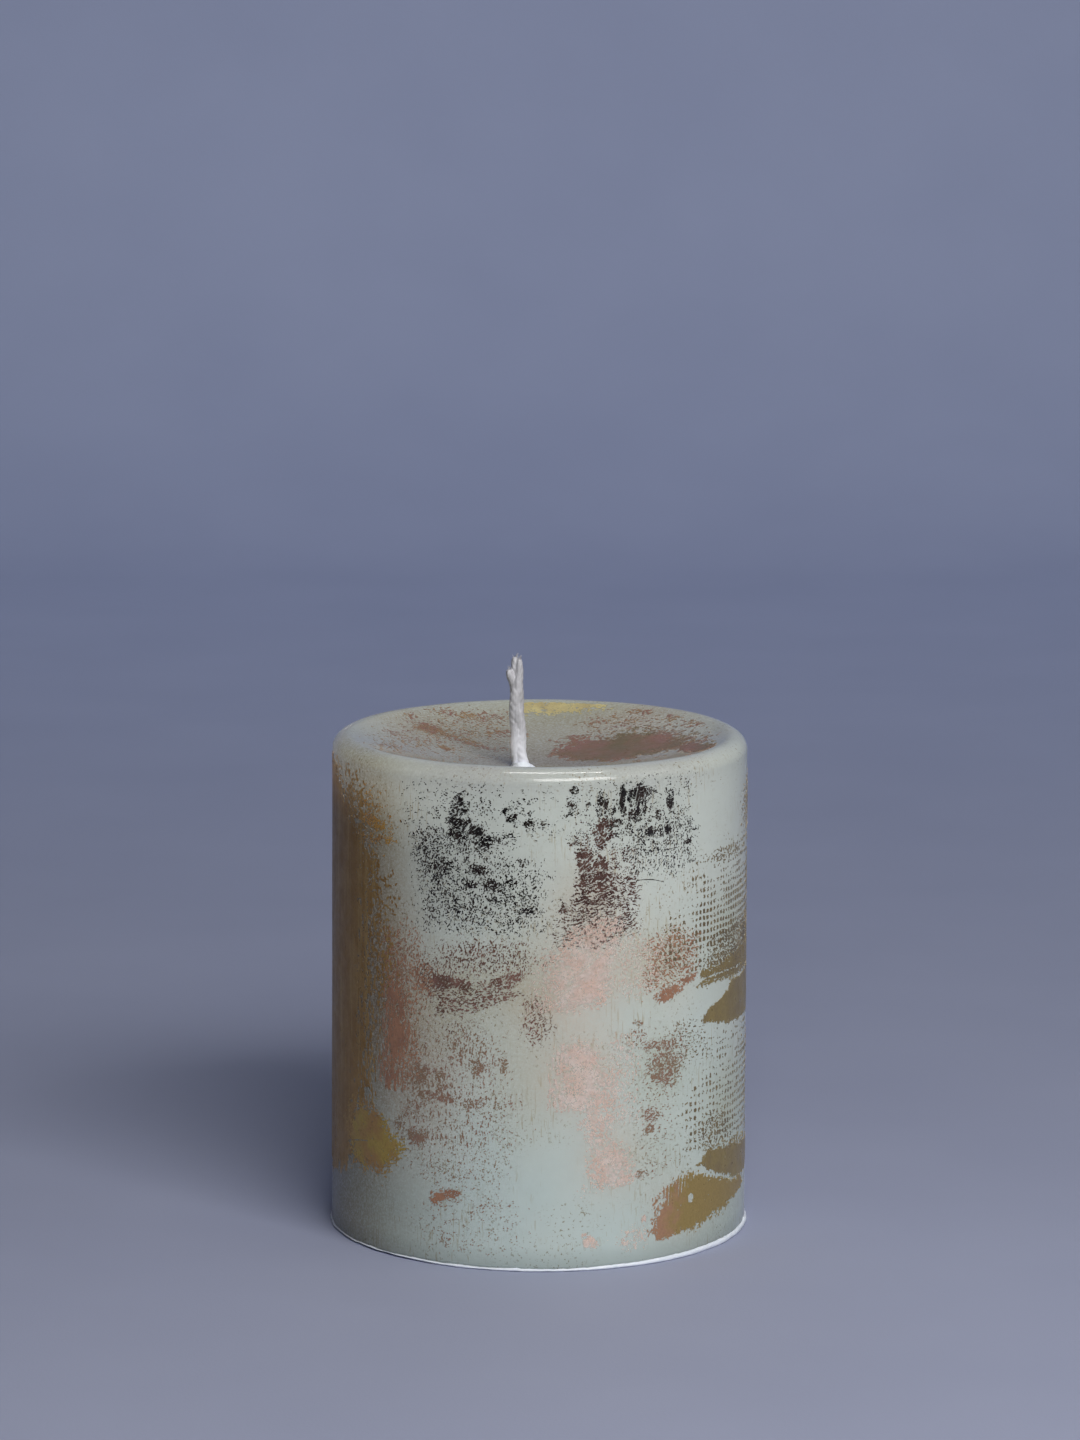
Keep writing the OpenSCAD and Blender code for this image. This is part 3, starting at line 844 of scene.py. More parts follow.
def leaf_patch(look, slot, middle, across, up, step, lift, crumb):
    """Lists a patch of leaf, drawn by the function below it and named after it.

    middle is the angle that its arc is measured from, or None on the dish. across and up are its
    limits, step
    its grid's, lift its height off the wax, and crumb the fewest grid points that a flake of it holds.
    """

    def listed(draw):
        LEAVES.append((draw, look, slot, (middle, across, up, step), lift, crumb))
        return draw

    return listed


def build_leaves(looks):
    """Makes every patch, each with its own run of seeds."""
    for i, (draw, look, slot, area, lift, crumb) in enumerate(LEAVES):
        kind = TopLeaf if area[0] is None else Leaf
        leaf = kind(*area, seed=200 + 10 * i)
        draw(leaf)
        leaf.build(draw.__name__, looks[look], slot, lift, crumb)


@leaf_patch("bronze", "bronze_leaf", -68, (-101, -36), (9, 87.6), 0.24, 0.03, 4)
def left_band(leaf):
    leaf.outline("streak", leaf.fading(-66, -42, 1.0), 2.4, 1.8, [
        (-99, 80), (-88, 84), (-80, 85), (-72, 82), (-66, 78), (-60, 75), (-54, 72), (-48, 70), (-45, 62),
        (-43, 50), (-42, 44), (-43, 34), (-48, 27), (-60, 25), (-78, 25), (-99, 25),
    ])
    leaf.outline("streak", 0.9, 2.4, 1.8, [
        (-99, 28), (-80, 28), (-62, 27.5), (-60, 21), (-66, 13), (-82, 11), (-92, 15), (-99, 23),
    ])
    leaf.outline("tick", 0.36, 2.4, 1.6, [
        (-100, 76), (-100, 87), (-84, 87), (-72, 87), (-58, 86), (-50, 76), (-60, 70),
    ])
    leaf.dabs("tick", 0.6, [
        (-57.5, 77, 1.0, 8, 0.66), (-53, 67, 3.4, 7, 0.5), (-47, 64, 4, 7, 0.34), (-46, 54, 3, 8, 0.42),
        (-64, 80, 3, 4, 0.5), (-70, 85, 4, 1.6, 0.3), (-76, 86, 5, 1.4, 0.3),
    ])
    for i in range(16):
        # Brush marks: thin upright lines where the leaf is rubbed away.
        angle = -80 + 2.0 * i + 0.9 * math.sin(5.1 * i)
        low = 29 + 4 * math.sin(2.7 * i)
        high = 46 + 9 * math.sin(1.9 * i + 1)
        leaf.scratch((angle, low), (angle + 0.5 * math.sin(3.3 * i), high), 0.035)


@leaf_patch("orange", "gold_leaf", -50, (-62, -38), (71, 85.5), 0.1, 0.05, 4)
def left_orange(leaf):
    leaf.dabs("brush", 0.6, [
        (-52, 77.6, 3.0, 1.0, 0.6), (-48.5, 77, 1.6, 0.9, 0.6), (-51.5, 74.6, 2.4, 0.9, 0.4),
        (-47, 74.8, 2.0, 0.7, 0.5), (-54, 80.5, 2.0, 1.6, 0.24),
    ])
    leaf.dabs("speck", 0.6, [(-50, 77, 6, 5, 0.17), (-52, 82.5, 5, 2.6, 0.1)])


@leaf_patch("copper", "copper_leaf", -41, (-51, -28), (30, 62), 0.1, 0.045, 4)
def left_copper(leaf):
    leaf.dabs("streak", 0.8, [
        (-42, 40, 2.6, 4.4, 0.86), (-42.5, 46, 2.4, 4, 0.62), (-44, 34, 2.6, 3.8, 0.66),
    ])
    leaf.dabs("tick", 0.6, [
        (-39, 51, 5.0, 9, 0.34), (-34, 51, 3.2, 4, 0.42), (-42, 55, 4, 5, 0.3), (-38, 38, 3, 7, 0.3),
    ])


@leaf_patch("gold", "gold_leaf", -53, (-70, -36), (12, 29), 0.13, 0.05, 4)
def left_gold(leaf):
    leaf.outline("sheet", 0.93, 1.7, 1.5, [
        (-64, 20), (-60, 24.3), (-54, 25.2), (-48, 24.4), (-44, 21.8), (-40.5, 20.2), (-42.5, 18.2),
        (-47.5, 15.6), (-54, 15.2), (-60, 16.2),
    ])
    leaf.outline("brush", 0.4, 1.6, 1.6, [
        (-68, 22), (-62, 27), (-50, 27), (-41, 23), (-38, 20), (-46, 13.5), (-62, 14),
    ])
    leaf.scratch((-69, 17.2), (-54, 19.6), 0.1, 0.3)


@leaf_patch("dark", "dark_leaf", -17, (-29, -5), (73.5, 86.5), 0.075, 0.035, 4)
def boot(leaf):
    leaf.dabs("stroke", 0.5, [
        (-22, 82.5, 1.5, 2.2, 0.56, -8), (-22.5, 79.8, 2.4, 0.75, 0.74), (-22.5, 77.7, 2.2, 1.3, 0.66),
        (-17, 78.3, 1.4, 1.1, 0.8), (-14.8, 76.5, 1.5, 1.4, 0.72), (-19.5, 78.2, 1.6, 0.8, 0.5),
    ])
    leaf.dabs("speck", 0.6, [
        (-10, 77, 2.8, 1.3, 0.36), (-19, 76.5, 5.4, 2.2, 0.3), (-20, 80, 4.5, 5, 0.15),
    ])
    slits(leaf, 12, (-26, 75.4), (1.1, 0.55), (1.9, 1.7))


@leaf_patch("dark", "dark_leaf", -17, (-41, 7), (59.5, 87.8), 0.088, 0.03, 3)
def boot_scatter(leaf):
    leaf.outline("tick", 0.19, 3.2, 2.4, [
        (-34, 60), (-35, 75), (-27, 77), (-10, 75), (2, 72), (3, 61), (-12, 59),
    ])
    leaf.outline("speck", 0.17, 3.2, 2.4, [
        (-32, 62), (-33, 72), (-24, 75), (-12, 74), (-2, 70), (-1, 62),
    ])
    leaf.dabs("speck", 0.6, [
        (-29, 71.5, 3.4, 3.6, 0.34), (-31, 75, 3.4, 4.2, 0.3), (-10, 67, 4, 2, 0.29),
        (-24, 66, 4, 2.6, 0.26), (-3.5, 66, 2.2, 3.2, 0.26), (-33, 80, 5, 5, 0.12),
        (-8, 84.5, 12, 2.4, 0.08), (-24, 82, 12, 5, 0.12),
    ])
    leaf.dabs("stroke", 0.4, [
        (-16, 71.5, 1.5, 0.9, 0.74), (-13.5, 69, 1.8, 0.8, 0.62), (-18.5, 68.8, 1.2, 0.55, 0.55),
        (-3.5, 64.5, 1.3, 0.7, 0.6), (-4.5, 73, 1.0, 0.8, 0.4), (-25.5, 72, 1.3, 0.8, 0.4),
        (-8, 69.5, 1.2, 0.6, 0.4),
    ])


@leaf_patch("dark", "dark_leaf", 0, (-12, 17), (76, 88.4), 0.075, 0.035, 3)
def centre_cluster(leaf):
    leaf.dabs("stroke", 0.35, [
        (-7.5, 81, 1.05, 0.6, 0.8, 28), (-9.3, 82.2, 0.5, 0.7, 0.6), (-3.2, 79.9, 0.9, 0.6, 0.6),
        (9.6, 85.8, 0.85, 0.7, 0.74), (13, 83.2, 0.6, 0.5, 0.6),
    ])
    leaf.dabs("speck", 0.45, [
        (-1.5, 79.8, 3.2, 1.2, 0.28), (-5, 82.6, 3, 1.4, 0.22), (8.5, 82.5, 1.8, 2.2, 0.3),
        (2, 78.2, 4, 1.4, 0.1),
    ])


@leaf_patch("rust", "copper_leaf", -17, (-38, 5), (39, 60.5), 0.08, 0.035, 3)
def rust_row(leaf):
    leaf.dabs("stroke", 0.4, [
        (-26.5, 51, 2.2, 1.2, 0.8), (-21, 51.0, 2.0, 1.1, 0.8), (-9.5, 51.6, 2.4, 0.9, 0.66),
        (-7, 52.6, 1.7, 0.9, 0.6), (-14.5, 51.2, 1.6, 0.7, 0.4),
    ])
    leaf.outline("dash", 0.4, 0.6, 0.8, [
        (-29, 45.2), (-24, 45.7), (-18, 46.1), (-10, 48.1), (-4, 49.6), (-8, 51), (-18, 50.2),
        (-29, 49.6),
    ], lean=10)
    slits(leaf, 18, (-29, 49.6), (1.3, 0.05), (1.5, 1.6))
    leaf.dabs("tick", 0.6, [
        (-14, 56, 9.5, 3.2, 0.3), (-25, 54, 4, 2.4, 0.26), (-30.5, 51.5, 2.6, 3.4, 0.4),
        (-5, 55.5, 2.4, 2.6, 0.28), (-22, 43.5, 5, 2, 0.12),
    ])
    leaf.dabs("tick", 0.6, [(-0.5, 44, 2.6, 3.4, 0.3), (-1.5, 48, 2, 1.6, 0.3)], lean=-30)


@leaf_patch("dull_copper", "copper_leaf", -24, (-45, 2), (1.6, 45), 0.09, 0.03, 3)
def low_scatter(leaf):
    leaf.dabs("flake", 0.5, [
        (-34, 33.5, 2.5, 2.2, 0.5), (-30.5, 30.4, 2.5, 0.9, 0.6), (-27, 33.5, 1.2, 2.1, 0.5),
        (-25, 30.4, 1.5, 0.9, 0.6), (-17.5, 29.8, 1.8, 0.8, 0.42), (-16.5, 36.5, 1.3, 1.4, 0.55),
        (-9.3, 37, 0.8, 1.8, 0.45), (-35, 22.6, 1.9, 1.5, 0.72), (-40.5, 24, 1.4, 2.2, 0.42),
        (-36.5, 27.5, 2.4, 2.0, 0.3),
    ])
    leaf.outline("tick", 0.11, 3.0, 2.6, [
        (-38, 17), (-38, 41), (-30, 43), (-16, 43), (-8, 42), (-5, 30), (-10, 16),
    ])
    leaf.outline("streak", 0.1, 3.0, 2.6, [
        (-36, 20), (-38, 38), (-28, 42), (-14, 41), (-8, 30), (-16, 20),
    ])
    leaf.dabs("tick", 0.6, [(-21.5, 40, 2.6, 4, 0.28), (-15, 38.5, 3.4, 3, 0.26), (-19, 25, 9, 8, 0.1)])
    leaf.dabs("speck", 0.45, [
        (-19, 8, 11, 6, 0.1), (-25.5, 4.4, 1.3, 1.2, 0.34), (-14, 11.5, 3, 2, 0.2),
        (-24, 16.5, 8, 3, 0.12),
    ])


@leaf_patch("copper", "copper_leaf", -26, (-34, -18), (9, 16.5), 0.08, 0.05, 3)
def arrow(leaf):
    leaf.dabs("stroke", 0.5, [(-27.8, 12.2, 1.7, 0.75, 0.92, 22), (-24.4, 13.2, 2.4, 0.55, 0.62, 12)])
    leaf.dabs("speck", 0.45, [(-25, 12.8, 3.4, 1.4, 0.34, 14), (-28, 10.8, 2, 0.8, 0.2)])


@leaf_patch("dark", "dark_leaf", 29, (8, 52), (65.5, 88.6), 0.08, 0.035, 3)
def dark_bars(leaf):
    leaf.dabs("flake", 0.4, [
        (16.2, 83, 0.7, 1.8, 0.66), (18.3, 82.4, 0.45, 2.4, 0.72), (20.3, 83.2, 0.5, 2.0, 0.6),
        (22.6, 84.2, 0.6, 1.6, 0.9), (23, 82, 0.6, 1.6, 0.8), (25, 83, 0.5, 2.2, 0.66),
        (27.2, 82.9, 0.65, 2.1, 0.82), (29.2, 82.6, 0.6, 2.0, 0.75), (26.6, 80.4, 1.6, 0.7, 0.5),
        (20.5, 79.8, 1.6, 0.8, 0.55), (30, 85, 1.2, 1.0, 0.55), (38, 83.8, 0.8, 0.8, 0.7),
        (37.7, 82.4, 0.9, 1.1, 0.7), (31.3, 77.7, 1.4, 0.8, 0.72), (34.5, 77.4, 0.7, 0.6, 0.5),
        (37, 77.6, 0.9, 1.1, 0.7), (33.5, 80.4, 0.9, 0.9, 0.45), (43.5, 74.8, 1.0, 0.5, 0.65),
        (24.5, 78.5, 0.9, 1.1, 0.45),
    ])
    leaf.dabs("stroke", 0.4, [(27.8, 84.5, 1.5, 1.7, 0.75)])
    leaf.outline("speck", 0.17, 2.8, 2.4, [
        (12, 75), (12, 86), (24, 87), (40, 86.5), (44, 80), (45, 74), (34, 73), (22, 75),
    ])
    leaf.dabs("speck", 0.6, [(34, 86, 9, 1.5, 0.12), (42, 84, 3.4, 2.2, 0.14), (41, 79, 3, 2.5, 0.2)])
    leaf.outline("tick", 0.19, 2.0, 2.0, [(24, 70), (25, 79), (36, 80), (47, 79), (48, 70.5), (36, 69.5)])
    slits(leaf, 16, (13, 80.2), (1.05, 0.12), (1.5, 4.2))
    leaf.line((27, 69.2), (36, 68.3), 0.05, 0.35)
    leaf.line((28, 74.6), (41, 74.2), 0.04, -0.2)


@leaf_patch("umber", "dark_leaf", 16, (1, 31), (57.5, 82), 0.08, 0.04, 3)
def dark_column(leaf):
    leaf.dabs("flake", 0.4, [
        (17.5, 78.5, 1.8, 2.1, 0.68), (16.5, 76.3, 1.0, 1.2, 0.8), (12.5, 74, 1.6, 1.5, 0.7),
        (16.5, 72.8, 1.6, 1.4, 0.72), (12.5, 72.3, 1.6, 1.3, 0.72), (14.5, 70.5, 2.4, 1.0, 0.6),
        (6.3, 64.8, 0.5, 1.0, 0.6),
    ])
    leaf.outline("brush", 0.62, 1.0, 0.9, [(9.5, 65.5), (10, 71.5), (20, 71.5), (22, 66), (16, 65)])
    leaf.outline("brush", 0.42, 1.2, 1.0, [(19, 65), (20, 71), (27, 70.5), (28, 66)])
    leaf.outline("brush", 0.38, 1.8, 1.3, [
        (4, 58.5), (6.5, 66), (15, 68), (27, 68), (27.5, 60), (16, 57.8),
    ])
    leaf.dabs("speck", 0.6, [
        (14, 76, 3.6, 4.5, 0.2), (22, 73, 3.5, 2.5, 0.25), (10.5, 76.4, 2.2, 0.4, 0.5),
    ])
    slits(leaf, 14, (9, 70.5), (0.75, 0.6), (2.6, 1.9))


@leaf_patch("rose", "rose_leaf", 14, (-5, 38), (43.5, 64.5), 0.1, 0.045, 4)
def rose_upper(leaf):
    leaf.outline("stroke", 0.6, 2.0, 1.5, [
        (3, 48), (6, 47), (10, 46.6), (15, 47.6), (19.5, 48.6), (19.5, 52), (21.5, 57), (22.5, 62.5),
        (14, 63), (7, 60), (3.5, 54),
    ], lean=24)
    leaf.outline("stroke", 0.82, 2.0, 1.6, [
        (7.5, 48.2), (16, 48.6), (18.5, 53), (18, 57), (11, 57.5), (7.5, 53),
    ], lean=-30)
    leaf.outline("tick", 0.3, 1.6, 1.2, [(-3, 46), (5, 47), (6, 57), (1, 59), (-2, 52)], lean=-36)
    slits(leaf, 22, (2, 47.5), (0.75, 0.5), (3.4, 2.4))
    leaf.outline("tick", 0.28, 2.0, 1.4, [(20, 48.5), (35, 49), (36, 58), (23, 60)])


@leaf_patch("rose", "rose_leaf", 16, (-1, 34), (11.5, 44.5), 0.1, 0.04, 4)
def rose_lower(leaf):
    leaf.outline("stroke", 0.5, 2.2, 1.8, [
        (5, 30), (7, 37), (9, 41.2), (15, 40.2), (17, 34.5), (20, 30), (20, 24), (24, 18.5), (27, 15.6),
        (20, 14.8), (13, 14.2), (14.5, 19), (12.5, 24), (10.5, 28.6),
    ], lean=-34)
    leaf.dabs("stroke", 0.7, [
        (11, 38, 3.3, 2.8, 0.72), (13, 34, 3.8, 2.8, 0.7), (10, 30.5, 3.2, 1.5, 0.72),
        (18, 32.5, 2.6, 3.6, 0.45), (20, 19, 3.6, 3.4, 0.6), (22, 16, 3.2, 1.5, 0.66),
        (15, 26, 2, 2.4, 0.45),
    ])
    leaf.outline("tick", 0.26, 2.2, 1.4, [(18, 25), (28, 26), (28, 42), (19, 42)])
    leaf.outline("streak", 0.34, 1.4, 1.0, [(2, 29), (7, 29), (9, 41), (4, 40)])
    leaf.bare(0.3, 0.3, [(12, 13.2), (20, 14.3), (28, 15.4), (28, 12), (12, 11)])


@leaf_patch("rose", "rose_leaf", 20, (9, 33), (1.6, 10.5), 0.08, 0.05, 3)
def foot_fleck(leaf):
    leaf.dabs("flake", 0.4, [
        (14, 5, 1.1, 1.1, 0.85), (15.5, 4.6, 0.6, 0.8, 0.5), (12.4, 6.4, 0.6, 0.5, 0.4),
    ])
    leaf.dabs("flake", 0.5, [
        (26, 5, 3.2, 2.2, 0.26), (24, 4.4, 0.7, 0.5, 0.6), (29.8, 8.3, 0.5, 0.6, 0.6),
        (29, 6, 1.2, 1.4, 0.35),
    ])


@leaf_patch("copper", "copper_leaf", 39, (27, 52), (45.5, 61), 0.085, 0.045, 3)
def copper_side(leaf):
    leaf.dabs("flake", 0.45, [
        (38, 48.5, 3.0, 1.2, 0.85, 14), (44, 50, 2.5, 0.8, 0.6, 14), (34.5, 47.9, 1.2, 0.7, 0.6),
    ])
    leaf.outline("dash", 0.34, 1.8, 1.4, [
        (30, 49), (30, 58), (40, 60), (49, 58), (48, 51), (40, 50),
    ], lean=-12)


@leaf_patch("dull_copper", "copper_leaf", 33, (20, 47), (14, 46.5), 0.085, 0.04, 3)
def copper_fleck(leaf):
    leaf.dabs("stroke", 0.5, [
        (27.5, 43.8, 1.0, 0.5, 0.6), (35.5, 39.2, 3.4, 1.2, 0.42), (33.5, 33.5, 1.2, 0.8, 0.72),
        (35, 36, 3.0, 2.5, 0.48), (38, 34, 3.0, 2.3, 0.46), (32, 27, 2.0, 1.1, 0.5),
        (31.5, 24.5, 1.0, 0.9, 0.6), (29, 16.6, 1.8, 0.8, 0.4), (27, 41, 2.6, 2.4, 0.2),
    ])
    leaf.dabs("dash", 0.6, [(33, 30, 5, 12, 0.12), (40, 38, 3.4, 4, 0.22), (34, 18, 4, 2, 0.14)])


@leaf_patch("olive", "bronze_leaf", 62, (32, 98), (47, 86), 0.13, 0.035, 3)
def gauze_upper(leaf):
    leaf.gauze(0.62, 1.08, 1.25, -0.01, [
        (35, 53), (36, 60), (46, 63), (60, 66), (92, 66), (93, 51), (60, 50), (46, 52),
    ])
    leaf.gauze(0.34, 1.08, 1.25, -0.01, [
        (44, 62), (44, 71), (62, 73), (76, 74), (90, 83), (94, 76), (91, 60), (60, 61),
    ])
    leaf.outline("dash", 0.4, 1.8, 1.4, [(50, 50), (56, 57), (72, 58), (92, 57), (91, 49), (62, 48.5)])
    leaf.dabs("dash", 0.6, [(64, 71, 8, 1.3, 0.3), (84, 78, 6, 5, 0.26), (52, 84.5, 8, 1.2, 0.06)])


@leaf_patch("olive", "bronze_leaf", 62, (38, 92), (15.5, 46), 0.13, 0.035, 3)
def gauze_lower(leaf):
    leaf.gauze(0.44, 1.1, 1.35, -0.01, [(43, 19), (43, 30), (56, 33), (85, 36), (86, 19), (60, 18)])
    leaf.outline("dash", 0.36, 1.4, 1.2, [(49, 19), (50, 24), (62, 25), (64, 20)])
    leaf.outline("dash", 0.2, 1.8, 1.4, [(40, 35), (40, 44), (52, 42), (56, 35)])
    leaf.gauze(0.3, 1.1, 1.35, -0.01, [(56, 32), (56, 39), (84, 41), (86, 32)])


@leaf_patch("olive_gold", "gold_leaf", 68, (46, 99), (37, 54), 0.13, 0.05, 4)
def gold_wedge(leaf):
    leaf.outline("sheet", 1.02, 0.5, 0.55, [
        (50.5, 42.0), (54, 44), (60, 45), (64, 46.2), (66, 47.6), (74, 47.4), (86, 48), (94, 45.4),
        (88, 42.4), (84, 40.2), (76, 39.8), (66, 40.0), (58, 40.8),
    ])
    leaf.outline("dash", 0.74, 0.9, 0.9, [
        (49, 48.2), (58, 48.4), (66, 48.0), (88, 48.5), (93, 51), (82, 53), (66, 52.4), (58, 51.6),
        (50, 51),
    ])
    leaf.scratch((48, 49.5), (74, 49.4), 0.14, 0.3)


@leaf_patch("olive_gold", "gold_leaf", 66, (44, 93), (8.6, 20.5), 0.13, 0.045, 4)
def gold_mid(leaf):
    leaf.outline("sheet", 0.98, 0.6, 0.7, [
        (48.5, 16.2), (53, 17.9), (60, 17.6), (68, 17.2), (78, 16.2), (85, 16.4), (89, 14), (84, 11.2),
        (78, 10.6), (68, 11.6), (60, 13.1), (53, 14.9),
    ])
    leaf.outline("dash", 0.4, 0.9, 0.9, [(50, 17), (53, 19.4), (66, 19), (80, 18), (80, 16)])
    comb(leaf, 12, (50, 14.5), (2.1, 0.1), 4.5, 0.06)


@leaf_patch("gold_copper", "gold_leaf", 50, (28, 80), (2.6, 16.5), 0.13, 0.05, 4)
def gold_low(leaf):
    leaf.outline("sheet", 0.97, 1.0, 1.0, [
        (33.6, 4.2), (32.6, 6), (35, 9), (38, 10.8), (36.2, 12.6), (40, 13.9), (43, 14.6), (46, 15.2),
        (49, 14.9), (53, 13.6), (60, 12.0), (67, 10.9), (78, 10.0), (78, 8.8), (68.5, 7.7), (60, 6.5),
        (50, 5.7), (45, 5.1), (38, 4.3),
    ])
    leaf.outline("tick", 0.45, 0.9, 0.8, [(31, 5), (33, 12), (39, 15), (43, 15.4), (40, 10), (36, 7)])
    leaf.bare(0.2, 0.5, [(45.2, 9.9), (46.6, 9.8), (47.2, 10.9), (46, 11.5), (45, 10.9)])
    comb(leaf, 11, (35.2, 9.8), (1.2, 0.36), 4.4, 0.11)
    leaf.dabs("speck", 0.6, [(46, 4.8, 5, 0.8, 0.24), (57, 6, 4, 0.8, 0.2)])


@leaf_patch("bronze", "bronze_leaf", -118, (-139, -97), (22, 84), 0.24, 0.03, 4)
def back_band(leaf):
    leaf.outline("sheet", 0.97, 1.6, 2.2, [
        (-137, 32), (-134, 44), (-136, 58), (-130, 72), (-122, 79), (-110, 82), (-99, 82), (-98.5, 22),
        (-106, 20), (-120, 24),
    ])
    leaf.outline("streak", 0.34, 2.4, 1.6, [(-138, 26), (-138, 76), (-98.5, 82), (-98.5, 24)])


@leaf_patch("rose", "rose_leaf", 176, (152, 200), (10, 84), 0.22, 0.035, 4)
def back_rose(leaf):
    leaf.outline("stroke", 0.68, 2.0, 2.0, [
        (160, 36), (163, 54), (172, 62), (188, 60), (194, 48), (190, 36), (176, 30),
    ])
    leaf.outline("flake", 0.6, 1.6, 1.6, [(166, 14), (164, 26), (174, 30), (188, 26), (186, 14)])
    leaf.outline("speck", 0.2, 3.0, 2.0, [(156, 60), (156, 80), (176, 82), (196, 80), (196, 62)])
    leaf.dabs("flake", 0.5, [(170, 72, 3, 1.6, 0.7), (181, 76, 2, 2.6, 0.7), (189, 69, 3, 1.4, 0.6)])


@leaf_patch("gold", "gold_leaf", 118, (94, 146), (6, 84), 0.22, 0.035, 4)
def back_gold(leaf):
    leaf.outline("sheet", 0.98, 0.8, 1.2, [
        (97, 10), (97, 17), (112, 19), (128, 15), (126, 9), (110, 7.5),
    ])
    leaf.outline("sheet", 0.96, 0.8, 1.2, [
        (104, 42), (102, 48), (116, 51), (134, 47), (130, 41), (116, 39),
    ])
    leaf.gauze(0.55, 1.1, 1.3, 0.05, [(97, 52), (98, 68), (120, 72), (140, 66), (140, 50)])
    leaf.gauze(0.42, 1.1, 1.3, 0.05, [(99, 20), (99, 34), (126, 36), (138, 30), (132, 18)])


@leaf_patch("top_rust", "copper_leaf", None, (1, 33), (-16, 20), 0.2, 0.035, 4)
def top_copper(leaf):
    leaf.outline("flake", 0.9, 2.6, 2.6, [
        (2.4, 10.4), (6.4, 16.2), (11, 15.6), (15, 17.2), (22, 14.2), (25, 8), (28.4, 2), (20, 2.6),
        (13, 1.6), (6.4, 5.4),
    ])
    leaf.outline("flake", 0.86, 1.4, 1.6, [
        (24, 4), (27.4, 2), (30.4, -6), (31, -12), (28.6, -13.6), (25.6, -4),
    ])
    leaf.outline("dash", 0.34, 2.2, 2.6, [
        (1.5, 8), (2, 18), (22, 19.5), (31, 6), (32, -12), (24, 0), (12, 2),
    ])
    leaf.dabs("flake", 0.6, [(7, 19, 2.4, 3.4, 0.5), (17, 20, 4, 1.6, 0.34), (20, -3, 4, 1.4, 0.3)])


@leaf_patch("top_gold", "gold_leaf", None, (-6, 18), (22, 34), 0.2, 0.035, 4)
def top_gold(leaf):
    leaf.outline("sheet", 0.84, 1.4, 1.2, [
        (-5, 29.6), (-3, 33), (5, 33.4), (11, 31.8), (12, 30), (5, 29.2),
    ])
    leaf.outline("dash", 0.22, 1.6, 1.4, [(-5, 27), (-5, 32), (14, 32), (15, 28)])


@leaf_patch("top_copper", "bronze_leaf", None, (-33.2, 2), (-33, 31), 0.16, 0.03, 3)
def top_left(leaf):
    leaf.dabs("flake", 0.6, [
        (-20, 17, 2.4, 2.2, 0.66), (-14, 14, 5.4, 1.3, 0.5, -24), (-24, 21, 2, 1.6, 0.4),
        (-17, 8, 1.6, 1.6, 0.5), (-15, 26, 6, 1.8, 0.42), (-27, 10, 1.4, 1.6, 0.3), (-6, 20, 4, 1.4, 0.4),
        (-6, 12, 4, 1.2, 0.3), (-27, -2, 2.2, 4, 0.22), (-8, 27.5, 4, 1.6, 0.26),
    ])
    leaf.outline("dash", 0.12, 3.0, 2.4, [(-31, -12), (-31, 10), (-20, 26), (-4, 30), (-4, 8), (-18, -8)])
    leaf.outline("dash", 0.24, 2.6, 2.4, [
        (-29, 4), (-25, 18), (-14, 27), (-4, 28), (-5, 19), (-14, 12), (-22, 2),
    ])
    leaf.dabs("dash", 0.6, [
        (-22, -14, 5, 4, 0.14), (-8, 16, 4, 4, 0.14), (-10, -31.2, 6, 1.0, 0.5),
        (-20, -26.4, 4, 1.2, 0.4),
    ])


@leaf_patch("top_copper", "copper_leaf", None, (3, 33.4), (-22, 33), 0.16, 0.045, 3)
def top_right(leaf):
    leaf.dabs("flake", 0.6, [
        (20, 26, 3.2, 1.6, 0.55), (25, 20.5, 2.6, 1.8, 0.5), (16, 22.5, 3.4, 1.2, 0.34),
        (28, 14, 1.8, 2.6, 0.4), (10, 24, 4, 1.6, 0.26),
    ])
    leaf.outline("speck", 0.2, 2.0, 2.0, [(8, 19), (8, 27), (18, 30), (29, 21), (31, 10), (24, 15)])
    leaf.dabs("speck", 0.6, [(12, -6, 8, 8, 0.04), (22, -12, 6, 6, 0.06)])


# ---------- materials ----------


